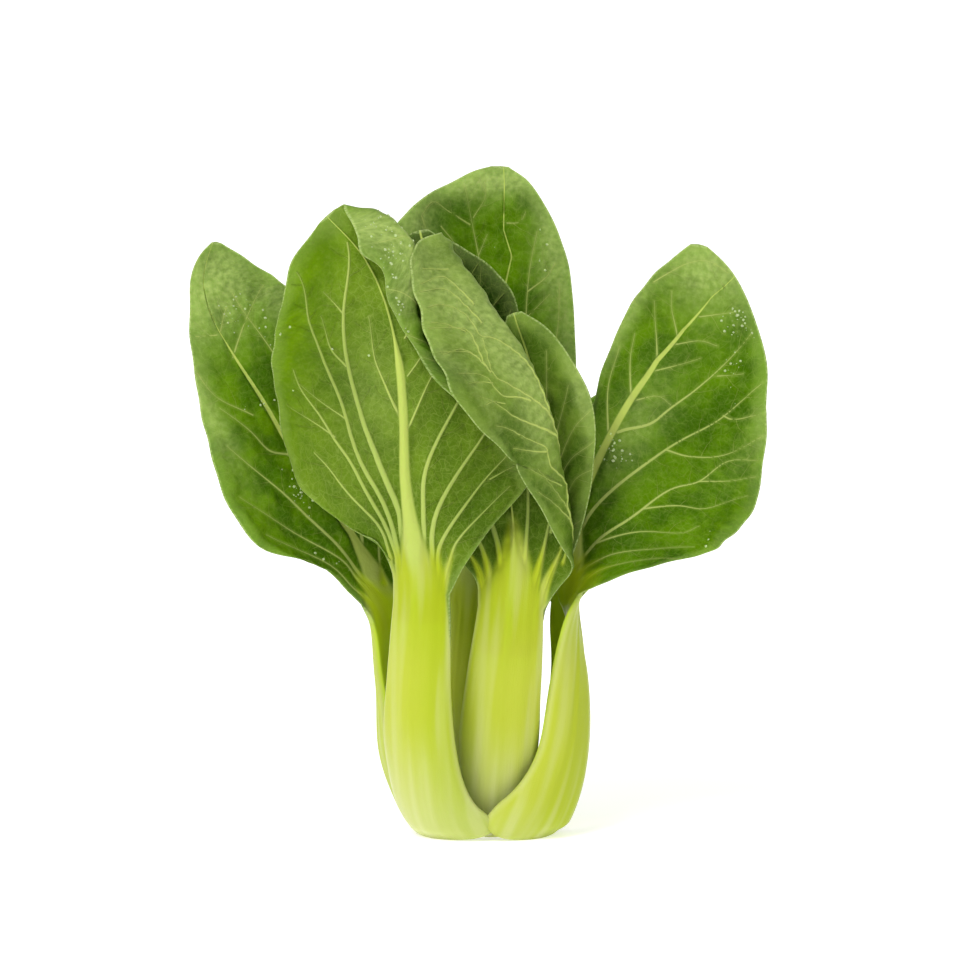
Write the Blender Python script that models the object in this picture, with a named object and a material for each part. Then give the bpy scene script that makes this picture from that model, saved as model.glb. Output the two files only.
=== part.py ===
"""A head of bok choy, standing on its trimmed base.

Each leaf is drawn flat and then bent.  Along the leaf runs a spine: up the stalk, then up the middle
of the blade.  A point of the leaf is given by its place along the spine, its offset to one side and
its height above the leaf's middle layer.  The blade's two edges are drawn in those flat coordinates,
and the cross-section's turning rate cups the blade, wraps the stalk round the heart and rolls an
edge over.  A leaf makes two solids: the pale stalk with its midrib, and the green blade.

Lengths in the tables are in millimetres, angles in degrees.  Seen with +X to the right and +Y going
away, an azimuth of -90 degrees faces the viewer.
"""

import bmesh
import bpy
import numpy as np

MM = 0.001

# Driving dimensions
BUTT_RADIUS = 9.5         # cut stem in the middle of the base
BUTT_HEIGHT = 12.0
BUTT_SHOULDER = 2.0       # bevel round the top of the butt
NODE_GAP = 0.3            # clear space between solids that touch in the real thing
RIB_GAP = 0.7             # clear space between a midrib and the blade that it carries
LEDGE = 0.05              # length over which the stalk steps back to carry the blade's foot
BLADE_THICKNESS = 0.9
VEIN_HEIGHT = 0.6         # side veins stand out of the blade's outer face
STALK_EDGE = 1.3          # thickness of a stalk along its thin edges
RIB_EDGE = 0.6            # thickness of a midrib along its edges
RIB_END = 0.86            # the midrib ends at this part of the blade's length
LEAST_ROW = 2.0           # no row of a midrib is closer than this to the blade's start
BLADE_END = 0.98          # each edge stops at this part of its length, which leaves a blunt tip
BLADE_REACH = 0.995       # the midrib's last row, as a part of the blade's length
VEIN_SWEEP = 1.45         # above 1, the side veins sweep up towards the tip
COLUMN_SWEEP = 1.3        # above 1, the side veins leave the midrib square and then bend up
LEVEL_BASE = 9.0          # length over which a stalk's sections turn from level to square
SPAN_STEPS = 24           # steps between two given points of a smooth curve
SECTION_STEPS = 24        # steps in the sum along a cross-section
STALK_COLUMNS = 9         # points across each face of a stalk
STALK_ROWS = (0.0, 0.06, 0.14, 0.24, 0.36, 0.5, 0.66, 0.82, 0.93)   # closer at the foot
STALK_STATIONS = (0.0, 0.35, 0.65, 1.0)   # where "width" and "depth" are given
WAVE_LENGTH = 40.0        # from crest to crest of a blade's waved edge
WAVE_REACH = 30.0         # the wave has its stated height at this distance from the midrib
BELLY = 0.16              # share of a stalk's thickness that swells outward from the middle layer
LAPEL_CUP = np.radians(52.0)   # a side with a lapel cups no further than this before it rolls
VEIN_FADE = 5.0           # side veins rise over this distance from the midrib
VEIN_DENT = 0.3           # share of a side vein's height that dents the inner face

# Colours, as sRGB
PALE_STALK = (198, 209, 92)
INNER_STALK = (176, 194, 70)
BUTT_CREAM = (222, 224, 176)


def mirrored(edge):
    """The same edge for both sides of a blade."""
    return {"plus": edge, "minus": edge}


# One entry for each leaf.  "stalk" and "blade" are the points of its spine; the blade starts at the
# stalk's last point.  "facing" is the azimuth of the outer face at the stalk's foot, half way up the
# stalk, at the blade's start, in the middle of the blade and at its tip, or at the "places" given,
# where -1 is the foot, 0 the blade's start and 1 the tip.  "cup" is the turning rate in degrees per
# centimetre at the same places.  "width" and "depth" are the stalk's half width and thickness at its
# foot, its bulge, above the bulge and at the blade's start.  "plus" and "minus" are
# the flat edges, as (along, aside); seen from outside, plus is on the right.  A "lapel" rolls the
# plus side over outward: it begins "from" this far aside, turns by "angle" and is "arc" long.
# "wave" is the height of the edge's waves, and "grid" counts rows, minus columns and plus columns.
LEAVES = {
    "front_left": {
        "stalk": [(-13.2, -14.3, 0), (-17.5, -20, 9), (-19.5, -24, 24), (-21, -25, 44), (-20.3, -25, 75)],
        "blade": [(-22, -26, 92), (-24.5, -27, 110), (-24.5, -28, 130), (-24.5, -28, 147),
                  (-30, -27, 165), (-38, -25, 178), (-47.5, -22, 188)],
        "facing": (-128, -122, -112, -100, -100),
        "cup": (26, 24, 12, 8, 6),
        "width": (12, 16, 10.8, 8), "depth": (6.0, 7.0, 6.0, 4.6),
        "minus": [(0, 8), (12, 18), (24, 28), (42, 38), (62, 43), (82, 42), (100, 35), (112, 22), (120, 2)],
        "plus": [(0, 8), (8, 15), (20, 27), (33, 35), (46, 35), (58, 30), (72, 24), (86, 24), (98, 29),
                 (107, 26), (114, 14), (120, 2)],
        "lapel": {"along": (0, 20, 33, 46, 58, 72, 87, 100, 110, 120),
                  "from": (40, 36, 31, 26, 17, 7, 6, 9, 8, 2),
                  "angle": (0, 0, 60, 165, 172, 172, 172, 172, 172, 165), "arc": 7.0},
        "colour": (116, 145, 40), "roughness": 0.55, "grid": (15, 6, 9),
    },
    "front": {
        "stalk": [(1.5, -12.6, 0), (2.2, -14.5, 9), (3.2, -16.8, 24), (4.3, -18.2, 44), (6.8, -19, 70)],
        "blade": [(8, -19, 90), (6, -18.5, 108), (0, -18, 130), (-8.5, -17.5, 152), (-16.5, -17.5, 170),
                  (-20, -18, 179)],
        "facing": (-86, -86, -88, -92, -92),
        "cup": (22, 20, 6, 4, 3),
        "width": (6.0, 11.5, 12, 10.5), "depth": (3.8, 5.4, 5.8, 4.2),
        "minus": [(0, 8), (10, 17), (25, 25), (50, 29), (75, 27), (95, 19), (108, 8), (113, 2)],
        "plus": [(0, 8), (6, 20), (18, 29), (30, 36), (44, 41), (58, 45), (74, 45), (88, 39), (100, 28),
                 (108, 14), (113, 2)],
        "lapel": {"along": (-20, 0, 12, 40, 60, 76, 90, 102, 113),
                  "from": (16, 13, 11, 9.5, 7.5, 5, 3, 1.5, 0.5),
                  "angle": (155, 155, 155, 155, 153, 150, 150, 150, 150), "arc": 14.0},
        "colour": (126, 149, 72), "roughness": 0.5, "grid": (15, 6, 10),
    },
    "right": {
        "stalk": [(12.8, -14.3, 0), (18, -17, 9), (22.3, -13.5, 24), (25, -8, 46), (24, -4, 72)],
        "blade": [(25.5, -2, 85), (28.5, 0, 100), (34.5, 2, 114), (42, 3, 128), (50, 3, 140),
                  (56.5, 2, 152), (61, 0, 165), (63, -3, 177)],
        "places": (-1.0, -0.66, -0.35, 0.0, 0.2, 1.0),
        "wave": 0.7,
        "facing": (-47, -36, -20, 32, 72, 88),
        "cup": (26, 24, 16, 10, 7, 7),
        "width": (12, 15, 9.5, 7), "depth": (6.0, 7.0, 5.5, 4.2),
        "plus": [(0, 7), (10, 10), (21, 13), (34, 16), (50, 17), (66, 16), (81, 15), (94, 13), (105, 10),
                 (114, 6), (119, 2)],
        "minus": [(0, 7), (7, 18), (14, 34), (24, 47), (40, 52), (60, 49), (80, 41), (95, 31), (108, 19),
                 (115, 10), (119, 2)],
        "colour": (84, 118, 30), "roughness": 0.35, "grid": (15, 6, 7),
    },
    "back_right": {
        "stalk": [(14, 7.8, 0), (19, 10.2, 9), (23.3, 12.5, 24), (25, 15, 46), (25.5, 19, 66)],
        "blade": [(29, 23, 84), (36, 28, 104), (44, 32, 122), (50, 33, 138)],
        "wave": 1.2,
        "facing": (29, 29, 40, 55, 60),
        "cup": (26, 24, 10, 9, 8),
        "width": (6.0, 10, 9.3, 7), "depth": (5.5, 6.5, 5.5, 4.0),
        **mirrored([(0, 6), (10, 17), (26, 26), (44, 27), (60, 21), (71, 11), (77, 2)]),
        "colour": (96, 128, 34), "roughness": 0.45, "grid": (11, 5, 5),
    },
    "back": {
        "stalk": [(2, 16, 0), (3.5, 22, 9), (4.5, 27, 24), (5, 28, 46), (6, 28, 74)],
        "blade": [(7, 30, 95), (7.5, 33, 120), (7, 36, 145), (5.5, 38, 168), (4.5, 41, 185), (4, 46, 195)],
        "wave": 1.2,
        "facing": (84, 84, 86, 90, 92),
        "cup": (26, 24, 10, 7, 6),
        "width": (5.7, 10.2, 9.6, 8), "depth": (5.5, 6.5, 5.5, 4.2),
        "plus": [(0, 8), (15, 17), (35, 27), (60, 34), (85, 38), (100, 36), (108, 29), (114, 20), (119, 10),
                 (121.5, 2)],
        "minus": [(0, 8), (15, 14), (35, 18), (60, 19.5), (85, 19.5), (98, 17), (108, 13), (116, 8),
                  (121.5, 2)],
        "colour": (92, 126, 36), "roughness": 0.4, "grid": (15, 6, 6),
    },
    "back_left": {
        "stalk": [(-9.4, 13.6, 0), (-13, 18.5, 9), (-15.9, 23.4, 24), (-17.8, 25.4, 46), (-20, 28, 68)],
        "blade": [(-25, 32, 90), (-32, 37, 112), (-40, 40, 134), (-46, 41, 151)],
        "wave": 1.2,
        "facing": (126, 126, 124, 120, 120),
        "cup": (26, 24, 10, 9, 8),
        "width": (5.8, 9, 8.5, 7), "depth": (5.5, 6.5, 5.5, 4.0),
        **mirrored([(0, 6), (12, 18), (30, 28), (50, 29), (68, 22), (80, 11), (86, 2)]),
        "colour": (100, 132, 36), "roughness": 0.45, "grid": (11, 5, 5),
    },
    "left": {
        "stalk": [(-19, 4, 0), (-23.5, 5.5, 9), (-28, 7, 24), (-29.3, 8.5, 44), (-31, 9.5, 64)],
        "blade": [(-38.5, 10, 76), (-46, 9, 88), (-57, 8, 108), (-66.5, 7, 128), (-74, 7, 142),
                  (-80, 8, 154), (-83, 10, 165), (-81, 13, 176)],
        "wave": 1.2,
        "facing": (170, 162, 140, 108, 100),
        "cup": (26, 22, 12, 8, 8),
        "width": (7.5, 11, 9.5, 8.5), "depth": (5.5, 6.5, 5.0, 4.0),
        "plus": [(0, 8), (12, 9), (28, 17), (48, 22), (70, 21), (90, 15), (108, 9), (120, 6), (128, 2)],
        "minus": [(0, 8), (12, 16), (30, 27), (55, 34), (80, 34), (100, 30), (114, 21), (123, 11), (128, 2)],
        "colour": (88, 122, 32), "roughness": 0.35, "grid": (15, 6, 6),
    },
    "inner_right": {
        "stalk": [(5.2, -1.5, 12.3), (8, -0.5, 22), (10, 0, 45), (13, -2.5, 68)],
        "blade": [(16, -7, 85), (18, -9, 100), (18, -9, 118), (15, -8, 136), (10, -6, 152)],
        "facing": (0, 5, 45, 72, 80),
        "cup": (24, 24, 14, 8, 6),
        "width": (3.8, 6, 7, 6), "depth": (3.5, 4.5, 4.2, 3.4),
        "plus": [(0, 5), (10, 8), (30, 13), (50, 15), (68, 12), (80, 6), (86, 2)],
        "minus": [(0, 5), (10, 10), (25, 14), (45, 16), (62, 14), (76, 8), (86, 2)],
        "colour": (98, 122, 54), "roughness": 0.5, "grid": (11, 5, 5),
    },
    "inner_left": {
        "stalk": [(-5.2, -3, 12.3), (-6.5, -3.5, 22), (-6.5, -3.5, 45), (-5.5, -2, 68)],
        "blade": [(-6, 1, 90), (-9, 4, 115), (-12, 6, 140), (-15, 8, 160), (-18, 9, 177)],
        "facing": (-150, -140, -115, -105, -100),
        "cup": (24, 20, 10, 5, 4),
        "width": (3.8, 6, 6.5, 6), "depth": (3.5, 4.5, 4.2, 3.4),
        "minus": [(0, 5), (12, 10), (35, 16), (60, 17), (85, 14), (102, 8), (110, 2)],
        "plus": [(0, 5), (12, 8), (35, 14), (60, 21), (85, 22), (98, 17), (106, 9), (110, 2)],
        "colour": (70, 96, 30), "roughness": 0.5, "grid": (11, 5, 5),
    },
    "inner_back": {
        "stalk": [(2, 6, 12.3), (2.5, 9.5, 22), (3, 12.5, 45), (3, 14.5, 66)],
        "blade": [(2.5, 17, 85), (0, 20, 108), (-3, 22, 130), (-6, 23, 148)],
        "facing": (72, 74, 82, 90, 94),
        "cup": (24, 24, 14, 9, 7),
        "width": (3.4, 5.5, 6.5, 6), "depth": (3.5, 4.5, 4.2, 3.4),
        **mirrored([(0, 5), (10, 12), (28, 18), (50, 20), (68, 15), (78, 8), (83, 2)]),
        "colour": (104, 134, 44), "roughness": 0.5, "grid": (11, 5, 5),
    },
    "heart": {
        "stalk": [(-3.4, 3.4, 12.3), (-4, 4.2, 22), (-3.7, 6, 40), (-3.2, 7.5, 52)],
        "blade": [(-3.2, 9, 66), (-3.7, 10, 82), (-4.2, 11, 98)],
        "facing": (140, 140, 140, 140, 140),
        "cup": (30, 30, 55, 70, 60),
        "width": (2.6, 3.4, 3.4, 3.2), "depth": (2.4, 3.0, 3.0, 2.6),
        **mirrored([(0, 3), (8, 6), (20, 8.5), (32, 7.5), (42, 4.5), (46, 2)]),
        "colour": (150, 176, 66), "roughness": 0.5, "grid": (9, 5, 5),
    },
}


def smooth_path(points):
    """Points of a smooth curve that passes through the given points (Catmull-Rom)."""
    given = np.asarray(points, dtype=float)
    ends = np.vstack([2 * given[0] - given[1], given, 2 * given[-1] - given[-2]])
    t = np.arange(SPAN_STEPS)[:, None] / SPAN_STEPS
    spans = []
    for before, start, end, after in zip(ends, ends[1:], ends[2:], ends[3:]):
        bend = 2 * before - 5 * start + 4 * end - after
        twist = 3 * start - before - 3 * end + after
        spans.append(start + 0.5 * ((end - before) * t + bend * t**2 + twist * t**3))
    return np.vstack(spans + [given[-1:]])


def profile(where, stations, values):
    """A value that changes smoothly from station to station."""
    line = smooth_path(list(zip(stations, values)))
    return np.interp(where, line[:, 0], line[:, 1])


def smooth_step(x):
    """Rises smoothly from 0 at x = 0 to 1 at x = 1."""
    x = np.clip(x, 0.0, 1.0)
    return x * x * (3.0 - 2.0 * x)


def unit(vectors):
    """The vectors at unit length."""
    return vectors / np.linalg.norm(vectors, axis=-1, keepdims=True)


class Leaf:
    """One leaf: a spine, a facing along it, and the bend of its cross-sections."""

    def __init__(self, name, shape):
        self.name = name
        self.shape = shape
        foot_points = shape["stalk"]
        self.path = smooth_path(foot_points + shape["blade"])
        steps = np.linalg.norm(np.diff(self.path, axis=0), axis=1)
        run = np.concatenate([[0.0], np.cumsum(steps)])
        stalk_length = run[(len(foot_points) - 1) * SPAN_STEPS]
        self.along = run - stalk_length
        self.foot = self.along[0]
        self.tip = self.along[-1]
        places = shape.get("places", (-1.0, -0.5, 0.0, 0.5, 1.0))
        self.stations = [place * (self.tip if place > 0 else -self.foot) for place in places]

    def frame(self, along):
        """Spine point, outward direction and sideways direction at places along the leaf."""
        place = np.stack([np.interp(along, self.along, self.path[:, k]) for k in range(3)], -1)
        slope = np.gradient(self.path, self.along, axis=0)
        tangent = np.stack([np.interp(along, self.along, slope[:, k]) for k in range(3)], -1)
        square = smooth_step((along - self.foot) / LEVEL_BASE)[..., None]
        tangent = unit(square * unit(tangent) + (1.0 - square) * np.array([0.0, 0.0, 1.0]))
        facing = np.radians(profile(along, self.stations, self.shape["facing"]))
        level = np.stack([np.cos(facing), np.sin(facing), 0.0 * facing], -1)
        outward = unit(level - tangent * (level * tangent).sum(-1, keepdims=True))
        return place, outward, np.cross(tangent, outward)

    def turn(self, along, reach, side):
        """How far the cross-section has turned inward at this distance from the spine."""
        rate = profile(along, self.stations, self.shape["cup"])
        angle = np.radians(rate) * reach / 10.0
        lapel = self.shape.get("lapel")
        if lapel:
            begin = profile(along, lapel["along"], lapel["from"])
            full = np.radians(profile(along, lapel["along"], lapel["angle"]))
            rolled = full * smooth_step((reach - begin) / lapel["arc"])
            angle = np.where(side > 0, np.minimum(angle, LAPEL_CUP) - rolled, angle)
        return angle

    def point(self, along, aside, height):
        """World points, in millimetres, for flat coordinates of the leaf."""
        along, aside, height = np.broadcast_arrays(along, aside, height)
        place, outward, sideways = self.frame(along)
        reach, side = np.abs(aside), np.where(aside < 0, -1.0, 1.0)
        steps = (np.arange(SECTION_STEPS) + 0.5) / SECTION_STEPS
        turns = self.turn(along[..., None], reach[..., None] * steps, side[..., None])
        across = (reach * np.cos(turns).mean(-1) * side)[..., None]
        inward = (reach * np.sin(turns).mean(-1))[..., None]
        end = self.turn(along, reach, side)
        normal = outward * np.cos(end)[..., None] + sideways * (side * np.sin(end))[..., None]
        phase = 2.0 * np.pi * along / WAVE_LENGTH + side
        wave = self.shape.get("wave", 0.0) * np.sin(phase) * (reach / WAVE_REACH) ** 2
        lift = (height + wave * (along > 0.0))[..., None]
        return place + sideways * across - outward * inward + normal * lift


def rib_half_width(leaf, along):
    """The pale midrib narrows from the stalk's top to a thin line."""
    top = leaf.shape["width"][-1]
    return profile(along / leaf.tip, (0.0, 0.12, 0.3, 1.0), (top - 1.0, 0.45 * top, 2.0, 0.8))


def rib_height(leaf, along):
    """The midrib gets thinner towards the tip."""
    return profile(along / leaf.tip, (0.0, 0.2, 0.5, 1.0), (0.6 * leaf.shape["depth"][-1], 1.9, 1.3, 0.8))


def blade_rows(leaf):
    """Places along the midrib where the blade's rows start, from its foot to its blunt tip."""
    rows = leaf.shape["grid"][0]
    return BLADE_REACH * leaf.tip * np.linspace(0.0, 1.0, rows) ** VEIN_SWEEP


def blade_grid(leaf):
    """Flat coordinates of the blade's rows and columns."""
    rows, minus_count, plus_count = leaf.shape["grid"]
    start = blade_rows(leaf)
    share = np.linspace(0.0, BLADE_END, rows)
    sides = (("minus", -1.0, np.linspace(1.0, 0.0, minus_count + 1)[:-1]),
             ("plus", 1.0, np.linspace(0.0, 1.0, plus_count + 1)))
    along, aside = [], []
    for side, sign, column in sides:
        edge = smooth_path(leaf.shape[side])
        lengths = np.concatenate([[0.0], np.cumsum(np.linalg.norm(np.diff(edge, axis=0), axis=1))])
        edge_along = np.interp(share, lengths / lengths[-1], edge[:, 0]) * leaf.tip / edge[-1, 0]
        edge_aside = np.interp(share, lengths / lengths[-1], edge[:, 1])
        sweep = column**COLUMN_SWEEP
        along.append(start[:, None] * (1 - sweep) + edge_along[:, None] * sweep)
        aside.append(sign * edge_aside[:, None] * column)
    return np.hstack(along), np.hstack(aside)


def build_blade(leaf):
    """The green blade: a thin sheet with raised side veins along every second row."""
    along, aside = blade_grid(leaf)
    clear = smooth_step((np.abs(aside) - rib_half_width(leaf, along)) / VEIN_FADE)
    on_vein = (np.arange(len(along)) % 2)[:, None]
    reach = np.abs(aside) / np.maximum(np.abs(aside).max(axis=1, keepdims=True), 1e-6)
    vein = VEIN_HEIGHT * on_vein * clear * (1.0 - reach**2)
    half = 0.5 * BLADE_THICKNESS
    outer = leaf.point(along, aside, half + vein)
    inner = leaf.point(along, aside, -half + VEIN_DENT * vein)
    return loft(outer, inner)


def build_stalk(leaf):
    """The pale stalk, and the midrib that it sends up the outer face of the blade."""
    columns = np.linspace(-1.0, 1.0, STALK_COLUMNS)
    crown = np.sqrt(np.maximum(1.0 - columns**2, 0.0))
    low = np.append(leaf.foot * (1.0 - np.array(STALK_ROWS)), -NODE_GAP - LEDGE)
    share = 1.0 - low / leaf.foot
    width = profile(share, STALK_STATIONS, leaf.shape["width"])[:, None]
    depth = profile(share, STALK_STATIONS, leaf.shape["depth"])[:, None]
    bulk = STALK_EDGE + (depth - STALK_EDGE) * crown
    lean = 0.5 + BELLY * crown
    outer = [leaf.point(low[:, None], width * columns, bulk * lean)]
    inner = [leaf.point(low[:, None], width * columns, bulk * (lean - 1.0))]
    high = blade_rows(leaf)
    high = np.append(-NODE_GAP, high[(high > LEAST_ROW) & (high < RIB_END * leaf.tip)])
    width = rib_half_width(leaf, high)[:, None]
    under = 0.5 * BLADE_THICKNESS + RIB_GAP
    bulk = RIB_EDGE + (rib_height(leaf, high)[:, None] - RIB_EDGE) * crown
    outer.append(leaf.point(high[:, None], width * columns, under + bulk))
    inner.append(leaf.point(high[:, None], width * columns, under + 0.0 * bulk))
    return loft(np.vstack(outer), np.vstack(inner))


def loft(outer, inner):
    """Vertices and triangles of the closed body between two grids, both split alike."""
    rows, columns = outer.shape[:2]
    vertices = np.concatenate([outer.reshape(-1, 3), inner.reshape(-1, 3)])
    out = np.arange(rows * columns).reshape(rows, columns)
    back = out + rows * columns
    faces = []

    def quad(a, b, c, d):
        faces.extend([(a, b, c), (a, c, d)])

    for row in range(rows - 1):
        for col in range(columns - 1):
            quad(out[row, col], out[row, col + 1], out[row + 1, col + 1], out[row + 1, col])
            faces.append((back[row, col], back[row + 1, col + 1], back[row, col + 1]))
            faces.append((back[row, col], back[row + 1, col], back[row + 1, col + 1]))
        quad(out[row, 0], out[row + 1, 0], back[row + 1, 0], back[row, 0])
        quad(out[row, -1], back[row, -1], back[row + 1, -1], out[row + 1, -1])
    for col in range(columns - 1):
        quad(out[0, col], back[0, col], back[0, col + 1], out[0, col + 1])
        quad(out[-1, col], out[-1, col + 1], back[-1, col + 1], back[-1, col])
    return vertices, faces


def linear(colour):
    """sRGB 0-255 to the linear values that a shader takes."""
    parts = np.asarray(colour) / 255.0
    bright = ((parts + 0.055) / 1.055) ** 2.4
    return tuple(np.where(parts <= 0.04045, parts / 12.92, bright)) + (1.0,)


def material(name, colour, roughness):
    """A plain surface of one colour."""
    made = bpy.data.materials.new(name)
    made.use_nodes = True
    surface = made.node_tree.nodes["Principled BSDF"]
    surface.inputs["Base Color"].default_value = linear(colour)
    surface.inputs["Roughness"].default_value = roughness
    surface.inputs["Metallic"].default_value = 0.0
    made.diffuse_color = linear(colour)
    return made


def add_solid(name, vertices, faces, origin, surface, parent):
    """A named object from points in millimetres, with its own origin."""
    mesh = bpy.data.meshes.new(name)
    local = (np.asarray(vertices) - origin) * MM
    mesh.from_pydata(local.tolist(), [], [tuple(int(k) for k in face) for face in faces])
    work = bmesh.new()
    work.from_mesh(mesh)
    bmesh.ops.recalc_face_normals(work, faces=work.faces)
    work.to_mesh(mesh)
    work.free()
    mesh.materials.append(surface)
    solid = bpy.data.objects.new(name, mesh)
    solid.location = np.asarray(origin) * MM
    solid.parent = parent
    bpy.context.scene.collection.objects.link(solid)
    return solid


def add_butt(parent):
    """The cut stem in the middle: a short cylinder with a bevelled top, flat underneath."""
    bpy.ops.mesh.primitive_cylinder_add(
        vertices=28, radius=BUTT_RADIUS * MM, depth=BUTT_HEIGHT * MM, location=(0, 0, 0.5 * BUTT_HEIGHT * MM))
    butt = bpy.context.object
    butt.name = "stem_butt"
    rim = [edge for edge in butt.data.edges
           if all(butt.data.vertices[k].co.z > 0.0 for k in edge.vertices)]
    weights = butt.data.attributes.new("bevel_weight_edge", "FLOAT", "EDGE")
    for edge in rim:
        weights.data[edge.index].value = 1.0
    bevel = butt.modifiers.new("shoulder", "BEVEL")
    bevel.width = BUTT_SHOULDER * MM
    bevel.segments = 2
    bevel.limit_method = "WEIGHT"
    butt.data.materials.append(material("stem_butt", BUTT_CREAM, 0.6))
    butt.parent = parent


def add_leaf(name, shape, parent):
    """The two solids of one leaf."""
    leaf = Leaf(name, shape)
    origin = np.array(shape["stalk"][0], dtype=float)
    pale = INNER_STALK if origin[2] > 0.0 else PALE_STALK
    vertices, faces = build_stalk(leaf)
    add_solid(f"stalk_{name}", vertices, faces, origin, material(f"stalk_{name}", pale, 0.35), parent)
    vertices, faces = build_blade(leaf)
    surface = material(f"blade_{name}", shape["colour"], shape["roughness"])
    add_solid(f"blade_{name}", vertices, faces, origin, surface, parent)


def main():
    """Clear the scene and build the head."""
    for old in list(bpy.data.objects):
        bpy.data.objects.remove(old, do_unlink=True)
    head = bpy.data.objects.new("bok_choy", None)
    bpy.context.scene.collection.objects.link(head)
    add_butt(head)
    for name, shape in LEAVES.items():
        add_leaf(name, shape, head)


main()
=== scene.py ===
"""Looks of a head of bok choy: leaves with their veins, the fused base, water drops and the studio.

Each leaf is drawn flat and then bent, by the same rule as the solids that it stands for, on a much finer
grid and with finer outlines. Flat coordinates are millimetres along the spine from the blade's start, and
aside from the spine.
"""

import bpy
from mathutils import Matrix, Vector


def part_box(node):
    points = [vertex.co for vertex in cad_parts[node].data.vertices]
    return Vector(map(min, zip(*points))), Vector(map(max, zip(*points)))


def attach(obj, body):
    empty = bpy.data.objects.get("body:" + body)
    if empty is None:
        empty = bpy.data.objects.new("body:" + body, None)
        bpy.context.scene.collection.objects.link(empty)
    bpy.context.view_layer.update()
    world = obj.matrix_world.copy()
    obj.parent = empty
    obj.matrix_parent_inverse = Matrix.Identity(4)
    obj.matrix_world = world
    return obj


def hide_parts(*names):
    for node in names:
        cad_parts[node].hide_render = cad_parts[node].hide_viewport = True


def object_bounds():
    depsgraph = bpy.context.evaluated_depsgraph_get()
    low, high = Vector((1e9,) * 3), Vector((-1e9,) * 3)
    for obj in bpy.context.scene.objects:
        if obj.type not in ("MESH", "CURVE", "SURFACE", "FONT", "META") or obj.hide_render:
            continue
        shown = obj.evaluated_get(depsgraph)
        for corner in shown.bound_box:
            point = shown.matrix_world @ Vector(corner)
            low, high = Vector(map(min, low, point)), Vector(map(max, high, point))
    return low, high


bl_info = {
    "name": "Bok choy looks",
    "version": (1, 0, 0),
    "blender": (4, 5, 0),
    "location": "3D View > Sidebar > Bok Choy",
    "description": "Dresses the packed head of bok choy with veined leaves, a fused base and water drops",
    "category": "Add Mesh",
}

import bpy
import numpy as np
from mathutils import Vector

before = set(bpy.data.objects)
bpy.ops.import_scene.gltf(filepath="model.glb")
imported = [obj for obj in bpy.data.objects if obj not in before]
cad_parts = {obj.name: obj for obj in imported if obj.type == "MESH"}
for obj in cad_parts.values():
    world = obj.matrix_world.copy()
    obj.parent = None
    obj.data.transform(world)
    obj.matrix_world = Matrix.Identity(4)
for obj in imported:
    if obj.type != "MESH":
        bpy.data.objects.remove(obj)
SOLID_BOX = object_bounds()

MM = 0.001

# How a leaf is bent: these repeat the solids' own rule. Lengths are in millimetres.
SPAN_STEPS = 24           # steps between two given points of a smooth curve
SECTION_STEPS = 40        # steps in the sum along a cross-section
VEIN_SWEEP = 1.45         # how much closer the blade's rows lie near its start
COLUMN_SWEEP = 1.3        # how fast a row leaves the spine for the margin
LEVEL_BASE = 9.0          # length over which sections turn from level at the foot to square with the spine
CHORDS = (5.0, 9.0, 13.0, 17.0)           # half the lengths over which a spine's direction is taken
PLACES = (-1.0, -0.5, 0.0, 0.5, 1.0)      # stations of facing and cup: foot, blade's start, tip
STALK_STATIONS = (0.0, 0.35, 0.65, 1.0)   # stations of width and depth, from the foot to the stalk's top
WAVE_LENGTH = 40.0        # length of the slow waves of a blade
WAVE_REACH = 30.0         # distance from the spine at which they have their full height
LAPEL_CUP = np.radians(52.0)              # the most that the side with a fold is cupped
STALK_EDGE = 1.3          # thickness of a stalk's edges
BELLY = 0.16              # share of a stalk's thickness that is moved from its inner to its outer face
FOOT_HEIGHT = 16.0        # height over which a foot's rounding fades
FOOT_RISE = (2.0, 2.0)    # how much higher the foot's two edges end than its middle
FLARE_HEIGHT = 34.0       # height over which a foot's flare fades
HALVINGS = 20             # halvings in the search for a point's row
BLADE_REACH = 0.999       # the middle of the last row, as a share of the leaf's length
BLADE_END = 0.995         # the last row's ends, as a share of the way round the margin
BLADE_HALF = 0.36         # half the thickness of a blade
EDGE_HALF = 0.16          # the same at its margin


def mirrored(edge):
    """The same edge for both sides of a blade."""
    return {"plus": edge, "minus": edge}


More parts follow.
